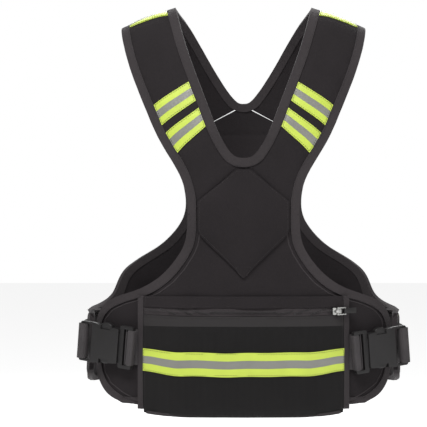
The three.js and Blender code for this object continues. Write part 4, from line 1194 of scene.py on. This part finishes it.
class VEST_OT_stage(bpy.types.Operator):
    """Pale floor, soft light and the photograph's camera"""

    bl_idname = "vest.stage"
    bl_label = "Stage"

    def execute(self, context):
        deselect()
        bpy.ops.mesh.primitive_plane_add(size=24, location=(0, 0, -0.9))
        floor = bpy.context.active_object
        floor.name = "floor"
        material, tree, shader = material_of("studio_floor", Roughness=1.0, Emission_Strength=0.62)
        shader.inputs["Base Color"].default_value = colours().floor
        shader.inputs["Emission Color"].default_value = (1, 1, 1, 1)
        shader.inputs["Specular IOR Level"].default_value = 0.0
        floor.data.materials.append(material)
        world = bpy.data.worlds.new("studio")
        bpy.context.scene.world = world
        world.use_nodes = True
        background = world.node_tree.nodes["Background"]
        background.inputs["Color"].default_value = (1, 1, 1, 1)
        rays = node_in(world.node_tree, "ShaderNodeLightPath").outputs["Is Camera Ray"]
        levels = {"Value": rays, "To Min": 0.36, "To Max": 1.0}
        strength = node_in(world.node_tree, "ShaderNodeMapRange", levels)
        world.node_tree.links.new(strength.outputs[0], background.inputs["Strength"])
        area_light("key", (-0.5, -1.5, 1.8), (0, 0, -0.15), (1.8, 1.0), 105)
        area_light("fill", (1.5, -1.9, 0.2), (0, 0, -0.3), (1.0, 1.6), 16)
        area_light("rim", (0.2, 2.0, 1.5), (0, 0, -0.2), (1.8, 0.9), 60)
        data = bpy.data.cameras.new("photo_camera")
        data.lens = CAMERA_LENS
        data.sensor_width = 36
        data.shift_x = CAMERA_SHIFT
        camera = bpy.data.objects.new("photo_camera", data)
        bpy.context.scene.collection.objects.link(camera)
        camera.location = (0, -CAMERA_DISTANCE, CAMERA_HEIGHT)
        camera.rotation_euler = (math.radians(90), 0, 0)
        bpy.context.scene.camera = camera
        bpy.context.scene.view_settings.view_transform = "Standard"
        return {"FINISHED"}


class VEST_PT_panel(bpy.types.Panel):
    """Lists the vest's steps and sizes"""

    bl_label = "Weighted vest"
    bl_idname = "VEST_PT_panel"
    bl_space_type = "VIEW_3D"
    bl_region_type = "UI"
    bl_category = "Vest"

    def draw(self, context):
        for step in STEPS:
            self.layout.operator(step.bl_idname)
        for group in (context.scene.vest_sizes, context.scene.vest_colours):
            for key in group.__class__.__annotations__:
                self.layout.prop(group, key)


STEPS = (
    VEST_OT_padding,
    VEST_OT_seams,
    VEST_OT_armhole_seams,
    VEST_OT_diamond,
    VEST_OT_bindings,
    VEST_OT_pouch,
    VEST_OT_tapes,
    VEST_OT_zip,
    VEST_OT_slider,
    VEST_OT_buckles,
    VEST_OT_webbing,
    VEST_OT_stitches,
    VEST_OT_cloths,
    VEST_OT_stage,
)
CLASSES = (VestSizes, VestColours, *STEPS, VEST_PT_panel)


def register():
    for kind in CLASSES:
        bpy.utils.register_class(kind)
    bpy.types.Scene.vest_sizes = PointerProperty(type=VestSizes)
    bpy.types.Scene.vest_colours = PointerProperty(type=VestColours)


def unregister():
    del bpy.types.Scene.vest_colours
    del bpy.types.Scene.vest_sizes
    for kind in reversed(CLASSES):
        bpy.utils.unregister_class(kind)


def main():
    register()
    for step in STEPS:
        group, name = step.bl_idname.split(".")
        getattr(getattr(bpy.ops, group), name)()


if __name__ == "__main__":
    main()
